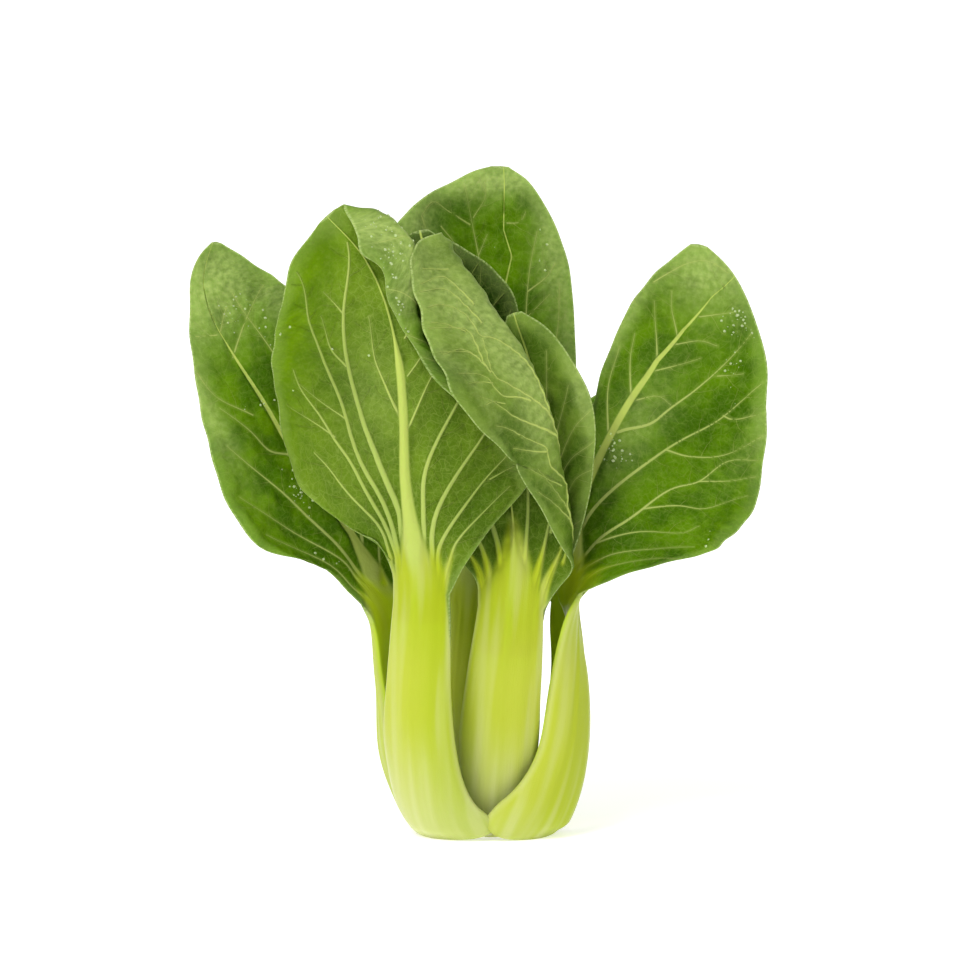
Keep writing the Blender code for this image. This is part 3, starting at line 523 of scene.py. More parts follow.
# Main side veins: half width at the start, and points (along, aside) of a smooth curve.
VEINS = {
    "front_left": [
        (1.15, (-8, -3.2), (8, -3.2), (18, -3.2), (29, -4), (55, -13), (71, -15.5), (90, -13), (110, -1)),
        (0.85, (-6, -5), (6, -5), (15, -5.2), (30, -8.4), (48, -16.5), (86, -24.5), (114, -19)),
        (0.8, (-8, -6.4), (6, -6.2), (16, -6.6), (37, -15), (48, -23.5), (61, -30.5), (72, -34)),
        (0.7, (-8, -7.4), (4, -7.4), (12, -8), (22, -11), (36, -23), (42, -30)),
        (0.3, (47, -22), (50, -27), (57, -39)), (0.3, (53, -18), (58, -25), (66, -32)),
        (0.35, (71, -16), (79, -20), (92, -20)), (0.3, (89, -13), (101, -16)),
        (0.4, (54, -1), (68, -6), (75, -7), (86, -6)), (0.35, (50, 1), (65, 9), (75, 18)),
        (1.0, (-8, 3), (10, 3.2), (25, 4.4), (41, 7.4), (57, 16), (66, 24)),
        (0.95, (-8, 5), (6, 5), (12, 5.4), (25, 8.6), (48, 24), (56, 31)),
        (0.75, (-8, 6.6), (5, 6.6), (15, 8.4), (28, 19), (41, 31)), (0.3, (33, 25), (37, 33)),
        (0.55, (-8, 8), (2, 8), (10, 10.5), (17, 15), (30, 31)), (0.25, (66, 2), (76, 12), (82, 22)),
        (0.3, (77, 3), (88, 14), (93, 25)), (0.3, (92, 2), (100, 12), (104, 24)),
    ],
    "front": [
        (0.45, (14, 15), (28, 21), (35, 20), (41, 24.5), (46, 25), (50, 31), (55, 38)),
        (0.5, (22, 11), (36, 15), (47, 19), (55, 22), (67, 31.5), (72, 33.5), (82, 27.5)),
        (0.3, (60, 27), (62, 30), (65, 36), (72, 37), (76, 44)),
        (0.42, (42, 17), (48, 20), (57, 34), (63, 39), (67, 43)),
        (0.4, (44, 17), (55, 21.5), (70, 21), (80, 24), (83, 27), (89, 25), (94, 26), (97, 29), (98, 34)),
        (0.3, (72, 34), (76, 33.5), (85, 29), (88, 30.5), (92, 38)), (0.28, (73, 34), (80, 35), (84, 42)),
        (0.28, (86, 23), (92, 22.5), (100, 23), (103, 30)),
        (0.28, (92, 20), (99, 19.5), (104, 20.5), (105, 28)), (0.22, (105, 17), (109, 24)),
        (0.3, (18, 14), (30, 22), (41, 29)), (0.28, (45, 25), (46, 29), (49, 37)),
        (0.22, (69, 36), (71, 40), (72, 44)), (0.22, (62, 36), (64, 40), (64, 43)),
        (0.22, (52, 34), (55, 38), (57, 42)), (0.22, (78, 34), (82, 36), (83, 42)),
        (0.22, (86, 29.5), (91, 33), (94, 37)), (0.22, (35, 22), (38, 27), (42, 32)),
        (0.22, (26, 21), (31, 26), (35, 31)), (1.0, (-14, 2.6), (4, 2.8), (20, 3.6), (45, 7)),
        (0.9, (-14, 5.6), (4, 6.2), (18, 8.8), (36, 14)), (0.7, (-12, 8.0), (5, 9.5), (16, 13.5), (27, 20)),
        (1.0, (-14, -2.6), (4, -3), (20, -5), (45, -12), (70, -20)),
        (0.9, (-14, -5.6), (4, -6.4), (18, -9.6), (38, -19), (52, -27)),
        (0.7, (-12, -8), (5, -8.8), (14, -12), (24, -20)),
    ],
    "right": [
        (0.5, (50, -0.3), (53, -3), (59, -9), (68, -12), (84, -18), (95, -22)),
        (0.3, (62, -1), (67, -6), (67, -11)), (0.22, (81, -18), (85, -25)),
        (0.28, (73, -1), (78, -6), (83, -11)), (0.28, (82, -1), (87, -8), (88, -14)),
        (0.28, (93, -5), (98, -15)),
        (0.7, (0, -1.5), (10, -1.5), (23, -3), (50, -15), (70, -25), (86, -32)),
        (0.3, (73, -26), (74, -30), (80, -38)), (0.35, (54, -17), (56, -24), (62, -32), (75, -41)),
        (0.6, (-2, -2), (6, -2), (16, -7), (27, -16), (42, -24), (50, -31), (62, -35), (69, -45)),
        (0.3, (50, -31), (56, -39), (64, -47)), (0.35, (32, -19), (38, -29), (42, -38), (55, -47)),
        (0.35, (16, -7), (23, -20), (27, -34), (33, -39)),
        (0.35, (-4, -3), (5, -4), (13, -13), (18, -28), (22, -40)),
        (0.3, (-6, -4), (0, -4), (9, -15), (14, -29), (15, -38)), (0.35, (62, 0), (72, 7), (80, 10)),
        (0.3, (76, 0), (86, 6), (93, 9)), (0.3, (85, -2), (92, 3), (98, 5)),
        (0.35, (50, 1), (62, 8), (74, 12)), (0.25, (99, 11), (107, 4), (110, -4), (108, -10)),
        (0.4, (20, 0), (34, 7), (46, 13)), (0.4, (6, 1), (20, 8), (30, 13)),
    ],
    "left": [
        (0.4, (58, -1), (64, -5), (72, -10), (90, -9), (109, -6)),
        (0.45, (48, -2), (55, -1), (60, 5), (68, 8), (79, 13)), (0.25, (98, 3), (100, 9)),
        (0.25, (98, 2), (105, -3)), (0.65, (-4, 1.5), (6, 0), (25, 1), (45, 7), (68, 17)),
        (0.45, (-5, 2.5), (6, 2), (14, 1.5), (22, 3), (38, 12), (53, 21)),
        (0.4, (-6, 4), (6, 4), (22, 7), (40, 20)), (0.25, (72, 5), (82, 12), (92, 14)),
        (0.5, (20, -6), (40, -14), (62, -24), (80, -30)), (0.45, (8, -5), (24, -14), (46, -27)),
        (0.35, (76, -9), (88, -18), (98, -24)), (0.3, (90, 2), (101, -9), (110, -16)),
    ],
    "back": [
        (0.5, (40, 3), (60, 4), (80, 6), (95, 8), (106, 9.5), (117, 11)),
        (0.3, (105, 10), (109, 16), (112, 21), (108, 25)), (0.25, (107, 9), (113, 5), (118, 5)),
        (0.25, (108, 25), (102, 23)), (0.25, (105, 19), (99, 15), (90, 14)), (0.22, (96, 8), (102, 5)),
        (0.3, (117, -1), (119, 2), (119, 10)), (0.25, (105, 0), (105, -5), (108, -7)),
        (0.45, (40, -2), (60, -4), (76, -5), (90, -7), (102, -10)), (0.3, (84, -6), (88, -12), (92, -15)),
        (0.3, (48, -8), (70, -14), (86, -16)), (0.25, (77, -6), (83, -13)),
        (0.4, (22, -1), (36, -6), (50, -14)), (0.55, (4, 3), (20, 7), (44, 22), (62, 30)),
        (0.5, (24, 2), (48, 13), (72, 27), (84, 34)), (0.35, (58, 4), (74, 16), (92, 30)),
        (0.4, (2, -4), (14, -9), (26, -14)),
    ],
    "inner_right": [
        (0.25, (56, -1), (64, -2), (78, -6)), (0.25, (46, -1), (56, -4), (67, -10)),
        (0.25, (38, -1), (49, -5), (55, -9), (59, -15)), (0.25, (30, -1), (45, -6), (51, -15)),
        (0.25, (24, -1), (38, -7), (42, -10), (44, -15)), (0.25, (10, -1), (24, -6), (32, -14)),
        (0.25, (50, 1), (60, 5), (66, 11)), (0.25, (30, 1), (44, 6), (54, 13)),
        (0.25, (12, 1), (26, 6), (36, 12)),
    ],
}
VEIN_SHARE = {"front_left": 0.95, "right": 0.85, "left": 0.85, "back": 0.85}   # of the widths listed
THIN_VEIN = 0.12          # no half width is less than this
VEIN_THINNING = 4         # every fourth point of a smooth curve is kept
VEIN_POINTS = 16          # points along a vein that is made by rule
VEIN_END = 0.22           # half width at a vein's end, as a share of that at its start
MARGIN_STOP = 0.92        # veins made by rule end at this part of the way to the margin
RIDGE_STEP = 1.0          # length between two sections of a vein's ridge
RIDGE_REACH = 1.6         # a ridge runs out at this many half widths from its middle
RIDGE_EDGE = (0.975, 0.97)                # ridges stop at this column and this row
CLEAR_MOST = 9.0          # distances to veins are not counted beyond this
TWIG_GAP = 5.5            # length between two twigs of a vein
TWIG_HALF = 0.13          # half width of a twig at its start
TWIG_POINTS = 6           # points along a twig
TWIG_LENGTHS = (4.0, 12.0)
TWIG_TURNS = (0.75, 1.2)  # angle between a twig and its vein, in radians
TWIG_WANDER = 0.16        # how much its direction varies
TWIG_CLEAR = 0.9          # a twig stops this far from another vein
TWIGLESS = ("front",)     # leaves whose fine veins are all given


def ruled_veins(leaf):
    """Side veins of a leaf that has no list of its own: they leave the midrib, sweep up and fork."""
    rng = np.random.default_rng(sum(leaf.name.encode()))
    top = leaf.shape["width"][-1]
    count = int(np.clip(leaf.tip / 14.0, 4, 7))
    t = np.linspace(0.0, 1.0, VEIN_POINTS)[:, None]
    veins = []
    for side in (-1.0, 1.0):
        for k in range(count):
            share = (k + 0.5 + 0.3 * rng.uniform(-1.0, 1.0)) / count
            fan = max(0.0, 1.0 - share / 0.42)
            start = np.array([share**1.2 * 0.8 * leaf.tip - 16.0 * fan, side * (0.85 * top * fan + 0.5)])
            row = 0.12 + 0.82 * share
            end = np.array(leaf.blade_place(row, side * MARGIN_STOP)).ravel()
            bow = start + (end - start) * 0.45 + np.array([(0.04 + 0.06 * fan) * leaf.tip, 0.0])
            curve = start * (1 - t) ** 2 + 2 * bow * t * (1 - t) + end * t**2
            veins.append((0.5 - 0.2 * share, curve))
            fork = curve[int(rng.uniform(0.4, 0.6) * VEIN_POINTS)]
            aim = np.array(leaf.blade_place(min(row + 0.08, 0.97), side * MARGIN_STOP)).ravel()
            veins.append((0.25, fork + (aim - fork) * t))
    return veins


def vein_curves(leaf):
    """Each side vein as a curve of flat points with its half width along it."""
    listed = VEINS.get(leaf.name)
    veins = [(size, smooth_path(points)[::VEIN_THINNING]) for size, *points in listed or ()]
    veins = veins or ruled_veins(leaf)
    share = VEIN_SHARE.get(leaf.name, 1.0)
    return [(curve, np.maximum(share * np.linspace(size, VEIN_END * size, len(curve)), THIN_VEIN))
            for size, curve in veins]


def resample(curve, step):
    """Evenly spaced points along a curve, and how far along each one is."""
    run = run_along(curve)
    share = np.linspace(0.0, 1.0, max(4, int(run[-1] / step) + 1))
    return np.stack([np.interp(share * run[-1], run, curve[:, k]) for k in (0, 1)], -1), share


def twig_curves(leaf, veins):
    """Fine veins that leave the main ones by turns to both sides and stop before they meet another."""
    rng = np.random.default_rng(1 + sum(leaf.name.encode()))
    twigs = []
    for curve, _ in () if leaf.name in TWIGLESS else veins:
        line, _ = resample(curve, TWIG_GAP)
        for k in range(1, len(line) - 1):
            if line[k, 0] < TWIG_GAP:
                continue
            heading = np.arctan2(*(line[k + 1] - line[k - 1])[::-1])
            turn = (-1.0) ** k * rng.uniform(*TWIG_TURNS)
            length = rng.uniform(*TWIG_LENGTHS)
            t = np.linspace(0.0, 1.0, TWIG_POINTS)
            bearing = heading + turn * (1.0 - 0.45 * t) + rng.normal(0.0, TWIG_WANDER, TWIG_POINTS)
            steps = np.stack([np.cos(bearing), np.sin(bearing)], -1) * length / TWIG_POINTS
            twigs.append(line[k] + np.cumsum(steps, axis=0) - steps[0])
    if not twigs:
        return []
    spots = np.array(twigs)
    clear, _ = nearest_vein(veins, spots[..., 0], spots[..., 1])
    kept = []
    for twig, room in zip(twigs, clear):
        if kept:
            others = np.vstack([line for line, _ in kept])
            room = np.minimum(room, np.linalg.norm(twig[:, None] - others, axis=-1).min(1))
        meets = np.nonzero(room[2:] < TWIG_CLEAR)[0]
        stop = meets[0] + 3 if len(meets) else TWIG_POINTS
        kept.append((twig[:stop], np.linspace(TWIG_HALF, 0.5 * TWIG_HALF, stop)))
    return kept


def vein_ridges(leaf, curves, columns):
    """Raised strips along veins: flat points, how near each is to the strip's middle, and its faces."""
    strips, faces, lines, halves, count = [], [], [], [], 0
    across = np.linspace(-1.0, 1.0, columns)
    for curve, width in curves:
        line, share = resample(curve, RIDGE_STEP)
        row, column = leaf.grid_place(line[:, 0], line[:, 1])
        outside = np.nonzero((np.abs(column) > RIDGE_EDGE[0]) | (row > RIDGE_EDGE[1]))[0]
        stop = outside[0] if len(outside) else len(line)
        if stop < 3:
            continue
        half = np.interp(share, np.linspace(0.0, 1.0, len(width)), width)[:stop]
        heading = unit(np.gradient(line, axis=0))[:stop]
        side = np.stack([-heading[:, 1], heading[:, 0]], -1)
        offset = across[None, :, None] * RIDGE_REACH * half[:, None, None]
        strips.append((line[:stop, None] + side[:, None] * offset).reshape(-1, 2))
        lines.append(np.tile(1.0 - across**2, stop))
        halves.append(np.repeat(half, columns))
        index = count + np.arange(stop * columns).reshape(stop, columns)
        faces.append(grid_faces(index))
        count += stop * columns
    return np.vstack(strips), np.concatenate(lines), np.concatenate(halves), np.vstack(faces)


def nearest_vein(curves, along, aside):
    """Distance to the nearest vein and its half width there."""
    points = np.stack([along.ravel(), aside.ravel()], -1).astype(np.float32)
    best = np.full(len(points), CLEAR_MOST, np.float32)
    size = np.zeros(len(points), np.float32)
    for curve, width in curves:
        low, high = curve.min(0) - CLEAR_MOST, curve.max(0) + CLEAR_MOST
        near = np.nonzero(((points > low) & (points < high)).all(1))[0]
        spot = points[near]
        for start, end, wide in zip(curve[:-1], curve[1:], width):
            step = (end - start).astype(np.float32)
            share = np.clip((spot - start) @ step / max(step @ step, 1e-9), 0.0, 1.0)
            distance = np.sqrt(((spot - start - share[:, None] * step) ** 2).sum(1))
            closer = distance < best[near]
            best[near[closer]] = distance[closer]
            size[near[closer]] = wide
    return best.reshape(along.shape), size.reshape(along.shape)


RIPPLE_WAVES = 14         # waves that a random surface is made of
RIPPLE_SCALE = 4.5        # brings their sum to between about -1 and 1


def ripple(along, aside, seed, length):
    """A smooth random surface between about -1 and 1, with bumps of the given length."""
    rng = np.random.default_rng(seed)
    total = np.zeros_like(along)
    for _ in range(RIPPLE_WAVES):
        angle, phase = rng.uniform(0.0, 2.0 * np.pi, 2)
        wave = 2.0 * np.pi / (length * rng.uniform(0.75, 1.5))
        total += np.sin(wave * (along * np.cos(angle) + aside * np.sin(angle)) + phase)
    return total / RIPPLE_SCALE


# Soft patches of painted light and shade on a leaf: painted sheen, painted glow of light shining through,
# and painted shade. Each gives the face (0 outer, 1 inner) and kind, then the middle (along, aside), the
# reach both ways and the strength.
PATCHES = {
    "front_left": [
        (0, "glow", 96, -34, 36, 20, 1.0), (0, "glow", 60, -44, 28, 12, 0.9),
        (0, "glow", 116, -12, 14, 16, 0.9), (0, "bloom", 62, -8, 26, 14, 0.2),
        (0, "deep", 26, 24, 26, 15, 0.85), (0, "deep", 46, -16, 30, 16, 0.3),
        (0, "deep", 60, 14, 24, 8, 0.5), (0, "glow", 8, -12, 14, 8, 0.35),
        (0, "deep", 70, -20, 24, 13, 0.4), (0, "deep", 20, -10, 16, 12, 0.4),
        (1, "bloom", 106, 19, 17, 11, 1.0), (1, "bloom", 88, 15, 12, 5, 0.6),
        (1, "deep", 74, 10, 18, 4, 0.9),
    ],
    "front": [
        (1, "bloom", 92, 22, 30, 17, 1.0), (1, "bloom", 60, 25, 24, 9, 0.9),
        (1, "deep", 60, 45, 28, 6, 0.5), (1, "deep", 34, 26, 14, 8, 0.35), (0, "deep", 20, 0, 30, 40, 0.8),
        (1, "bloom", 72, 42, 26, 4, 0.5),
    ],
    "right": [
        (1, "bloom", 108, -4, 15, 16, 0.9), (1, "bloom", 84, 15, 30, 4, 0.6),
        (1, "bloom", 80, -40, 22, 6, 0.35), (1, "glow", 42, -50, 26, 8, 0.6),
        (1, "deep", 60, -20, 26, 16, 0.35), (1, "bloom", 55, -5, 22, 9, 0.4),
        (1, "deep", 16, -30, 10, 12, 0.35), (1, "glow", 92, 0, 12, 10, 0.4), (1, "glow", 2, 0, 16, 12, 0.7),
    ],
    "left": [
        (1, "bloom", 112, 0, 18, 18, 0.95), (1, "bloom", 86, 17, 30, 5, 0.7),
        (1, "glow", 66, 4, 26, 20, 0.45), (1, "deep", 40, -12, 30, 14, 0.55),
        (1, "bloom", 100, -18, 16, 6, 0.5), (1, "glow", 46, 20, 18, 8, 0.4),
    ],
    "back": [
        (1, "bloom", 119, 4, 7, 30, 1.0), (1, "bloom", 98, -14, 26, 6, 0.8),
        (1, "bloom", 106, 28, 10, 8, 0.7), (1, "deep", 92, 24, 22, 14, 1.0), (1, "deep", 112, 8, 7, 8, 0.7),
        (1, "glow", 104, 12, 10, 7, 0.5), (1, "bloom", 70, -18, 26, 4, 0.5),
        (1, "glow", 76, -8, 24, 7, 0.3),
    ],
    "inner_right": [
        (1, "bloom", 70, -14, 24, 4, 0.7), (1, "deep", 20, 0, 30, 20, 0.8), (1, "deep", 60, 4, 30, 8, 0.4),
    ],
    "inner_left": [(0, "deep", 80, 4, 90, 60, 1.0)],
}


CORRUGATED = ("front",)   # leaves with fine waves across the part folded over
CREST_GAP = 3.6           # length from one wave to the next
# Random surfaces over a leaf: seed and length of the bumps.
WANDER = (12, 22.0)       # of the fine waves
PIMPLES = (3, 5.0)        # of the panels between veins
SWELLS = (8, 24.0)        # of how far those panels are puckered
RUFFLES = (5, 15.0)       # of the margin


def crests(along, aside):
    """The fine waves, from -1 in a trough to 1 on a crest of the inner face."""
    return np.sin(2.0 * np.pi * (along + 0.3 * aside + 1.4 * ripple(along, aside, *WANDER)) / CREST_GAP)


def patch(leaf, kind, face, along, aside):
    """Strength of one kind of patch on one face."""
    total = 0.0 * along
    for side, what, middle, off, long_reach, wide_reach, strength in PATCHES.get(leaf.name, ()):
        if (side, what) == (face, kind):
            far = ((along - middle) / long_reach) ** 2 + ((aside - off) / wide_reach) ** 2
            total = total + strength * np.exp(-1.4 * far)
    total = np.clip(total, 0.0, 1.0)
    # Painted highlight: the painted sheen is a little brighter on the crests of the fine waves.
    if kind == "bloom" and leaf.name in CORRUGATED:
        total = total * (0.86 + 0.1 * crests(along, aside))
    return total


BLADE_FADE = 9.0          # length over which the stalk's colour turns into the blade's
# How far pale streaks run up along the veins, a pale column up the middle (how far, how wide), and how far
# the blade runs down the plus edge.
STREAKS = {"front": 13.0, "front_left": 7.0, "left": 6.0}
PLAIN_STREAK = 3.0
COLUMNS = {"front": (17.0, 5.0)}
FRINGE = {"front_left": 13.0}
# Side veins on the inner face, as shares of their height on the outer face: how far the face sinks along
# them (less than 0 where it rises instead), and how high their ridges are.
VEIN_GROOVE = {"front": -0.9}
PLAIN_GROOVE = 0.3
INNER_LIFT = {"front": 0.8}
PLAIN_LIFT = 0.35
SUNK = 0.12               # ridges lie this deep under the face where they are not shown
BLADE_RISE = 12.0         # length over which veins and quilting rise from the blade's start
QUILT_CLEAR = 5.0         # panels are puckered in full this far from their veins
QUILT_MARGIN = 4.0        # and this far from the margin
RUFFLE_REACH = 9.0        # width of the rippled margin
FOLD_START = 15.0         # how far aside the fine waves of a folded part begin
FLAT_SCALE = 0.01         # the flat layout of a leaf, per millimetre


def blade_start(leaf, column, clear, from_rib):
    """Where the blade's colour starts: later over the veins and the middle, earlier at the margins."""
    streaks = STREAKS.get(leaf.name, PLAIN_STREAK) * np.exp(-((clear / 1.3) ** 2))
    high, wide = COLUMNS.get(leaf.name, (0.0, 1.0))
    streaks = np.maximum(streaks, high * np.exp(-((from_rib / wide) ** 2)))
    fringe = FRINGE.get(leaf.name, 0.0) * np.clip(column, 0.0, 1.0) ** 8
    return -5.0 + 9.0 * (1.0 - np.abs(column)) + streaks - fringe


def surface_at(leaf, sizes, veins, along, aside, row, column):
    """Heights of both faces over the middle layer, and the values that the material needs."""
    reach = np.abs(column)
    blade_zone = smooth_step((along - 1.0) / BLADE_RISE)
    margin = (1.0 - reach) * np.where(reach > 1e-6, np.abs(aside) / np.maximum(reach, 1e-6), 10.0)
    margin = np.minimum(margin, (1.0 - row) * leaf.tip * 0.6)
    clear, size = nearest_vein(veins, along, aside)
    from_rib = aside - rib_middle(leaf, along) * blade_zone
    rib = from_rib / rib_half_width(leaf, np.maximum(along, 0.0))
    outer, inner = body_heights(leaf, along, aside, from_rib, margin)
    off_rib = smooth_step((np.abs(rib) - 0.8) / 1.2)
    ridge = np.exp(-((clear / (1.2 * size + 0.3)) ** 2)) * (0.3 + 1.2 * size)
    pimples = 0.35 * ripple(along, aside, *PIMPLES) * smooth_step(clear / 2.0)
    panel = smooth_step(clear / QUILT_CLEAR) + pimples + 0.8 * ripple(along, aside, *SWELLS)
    quilt = sizes.pucker / MM * off_rib * smooth_step(margin / QUILT_MARGIN) * panel
    ruffle = sizes.ruffle / MM * ripple(along, aside, *RUFFLES) * smooth_step(1.0 - margin / RUFFLE_REACH)
    middle = blade_zone * (ruffle - quilt)
    stalk_zone = 1.0 - smooth_step((along + 2.0) / 16.0)
    swell = np.cos(2.0 * np.pi * (column * 2.3 + 0.15 * np.sin(column * 7.0 + leaf.tip))) * (1.0 - reach**4)
    if leaf.name in CORRUGATED:
        middle = middle + 0.6 * blade_zone * quilt * smooth_step((aside - 9.0) / 6.0)
        folded = smooth_step((aside - FOLD_START) / 8.0) * smooth_step(margin / 5.0)
        middle = middle - sizes.corrugation / MM * crests(along, aside) * folded
    raised = sizes.vein_height / MM * ridge * blade_zone * off_rib
    values = {
        "clear": clear, "rib": rib, "margin": margin, "across": column,
        "blade": smooth_step((along - blade_start(leaf, column, clear, from_rib)) / BLADE_FADE),
        "height": np.clip(1.0 - along / leaf.foot, 0.0, 1.0),
    }
    outer = outer + middle + raised + sizes.stalk_flute / MM * stalk_zone * swell
    return outer, -inner + middle + VEIN_GROOVE.get(leaf.name, PLAIN_GROOVE) * raised, values


def build_leaf(leaf, sizes, surface):
    """The whole leaf: stalk and blade in one closed sheet, and the ridges of its veins on both faces."""
    along, aside, row, column = leaf_grid(leaf)
    rows, columns = along.shape
    along, aside = along.ravel(), aside.ravel()
    row, column = (np.broadcast_to(v, (rows, columns)).ravel() for v in (row, column))
    veins = vein_curves(leaf)
    layers = [(along, aside, row, column, 0.0 * along, 0.0 * along)]
    sheets = [sheet_faces(rows, columns)]
    count = 2 * rows * columns
    for curves, steps in ((veins, 5), (twig_curves(leaf, veins), 3)):
        if not curves:
            continue
        flat, line, half, faces = vein_ridges(leaf, curves, steps)
        layers.append((flat[:, 0], flat[:, 1], *leaf.grid_place(flat[:, 0], flat[:, 1]), line, half))
        sheets += [faces + count, faces[:, ::-1] + count + len(flat)]
        count += 2 * len(flat)
    points, flats, gathered = [], [], {}
    for along, aside, row, column, line, half in layers:
        outer, inner, values = surface_at(leaf, sizes, veins, along, aside, row, column)
        shown = smooth_step(np.abs(values["rib"]) - 0.6) * smooth_step((along + 4.0) / 8.0)
        lift = sizes.vein_height / MM * (0.3 + 0.9 * half) * (1.5 * line - 0.3) * shown
        lift = np.where(half > 0.0, lift - SUNK * (1.0 - shown), 0.0)
        inner_lift = INNER_LIFT.get(leaf.name, PLAIN_LIFT) * lift
        points += [leaf.point(along, aside, outer + lift), leaf.point(along, aside, inner - inner_lift)]
        flats += [np.stack([aside, along], -1) * FLAT_SCALE] * 2
        values["line"] = line * shown * np.clip(0.3 + 1.8 * half, 0.0, 1.0)
        for key, value in values.items():
            gathered.setdefault(key, []).append(np.tile(value, 2))
        gathered.setdefault("adaxial", []).append(np.repeat([0.0, 1.0], len(along)))
        # Strengths of the painted sheen, the painted glow and the painted shade on both faces.
        for kind in ("bloom", "glow", "deep"):
            faces = [patch(leaf, kind, face, along, aside) for face in (0, 1)]
            gathered.setdefault(kind, []).append(np.concatenate(faces))
    attributes = {key: np.concatenate(parts) for key, parts in gathered.items()}
    return add_mesh(
        f"leaf_{leaf.name}", np.vstack(points), np.vstack(sheets), surface, attributes, np.vstack(flats))


# Materials ---------------------------------------------------------------------------------------

class Weave:
    """Makes and joins the shader nodes of one material."""

    def __init__(self, name):
        self.material = bpy.data.materials.new(name)
        self.material.use_nodes = True
        self.tree = self.material.node_tree
        self.surface = self.tree.nodes["Principled BSDF"]

    def put(self, socket, value):
        """A number, a colour or another node's output into a socket."""
        if isinstance(value, bpy.types.NodeSocket):
            self.tree.links.new(value, socket)
        elif isinstance(value, tuple) and len(value) == 3 and socket.type == "RGBA":
            socket.default_value = value + (1.0,)
        else:
            socket.default_value = value

    def node(self, kind, inputs=None, **settings):
        """A node with its settings and inputs; inputs are given by name or number."""
        made = self.tree.nodes.new(kind)
        for key, value in settings.items():
            setattr(made, key, value)
        for key, value in (inputs or {}).items():
            self.put(made.inputs[key], value)
        return made

    def math(self, operation, a, b=0.0):
        """The result of a sum on one or two values."""
        return self.node("ShaderNodeMath", {0: a, 1: b}, operation=operation).outputs[0]

    def plus(self, a, b):
        """Two values added."""
        return self.math("ADD", a, b)

    def times(self, a, b):
        """Two values multiplied."""
        return self.math("MULTIPLY", a, b)

    def shift(self, operation, a, b):
        """The result of a sum on two vectors."""
        return self.node("ShaderNodeVectorMath", {0: a, 1: b}, operation=operation).outputs[0]

    def value(self, name):
        """A value that the mesh holds for each of its points."""
        return self.node("ShaderNodeAttribute", attribute_name=name).outputs["Fac"]

    def ramp(self, value, low, high, bottom=0.0, top=1.0):
        """Value from bottom to top, smoothly, as it goes from low to high."""
        made = self.node(
            "ShaderNodeMapRange", {0: value, 1: low, 2: high, 3: bottom, 4: top},
            interpolation_type="SMOOTHSTEP")
        return made.outputs[0]

    def blend(self, share, first, second, how="MIX"):
        """Two colours mixed by a share."""
        made = self.node("ShaderNodeMix", data_type="RGBA", blend_type=how)
        self.put(made.inputs["Factor"], share)
        self.put(made.inputs[6], first)
        self.put(made.inputs[7], second)
        return made.outputs[2]

    def noise(self, place, scale, detail=3.0, stretch=None):
        """Smooth random values about 0.5 over a place."""
        if stretch:
            place = self.node("ShaderNodeMapping", {"Vector": place, "Scale": stretch}).outputs[0]
        made = self.node("ShaderNodeTexNoise", {"Vector": place, "Scale": scale, "Detail": detail})
        return made.outputs["Fac"]

    def net(self, place, scale):
        """Distance to the nearest line of an uneven net."""
        made = self.node(
            "ShaderNodeTexVoronoi", {"Vector": place, "Scale": scale}, feature="DISTANCE_TO_EDGE")
        return made.outputs["Distance"]

    def bump(self, strength, distance, height):
        """Fine relief on the surface."""
        made = self.node("ShaderNodeBump", {"Strength": strength, "Distance": distance, "Height": height})
        self.put(self.surface.inputs["Normal"], made.outputs[0])

    def finished(self, inputs):
        """The material, with these inputs of its surface."""
        for key, value in inputs.items():
            self.put(self.surface.inputs[key], value)
        return self.material


def tints(colours):
    """The colours that a user can change, by name."""
    return {key: tuple(getattr(colours, key)) for key in BokChoyColours.__annotations__}


SKIN_SHADE = (0.40, 0.52, 0.26)   # the dark parts of a skin, as shares of its colour
DEEP_SHADE = (0.62, 0.68, 0.6)    # painted shade deep between other leaves, again as shares of the colour
NET_WARP = (0.03, 0.03, 0.03)     # how far the net of fine veins is bent


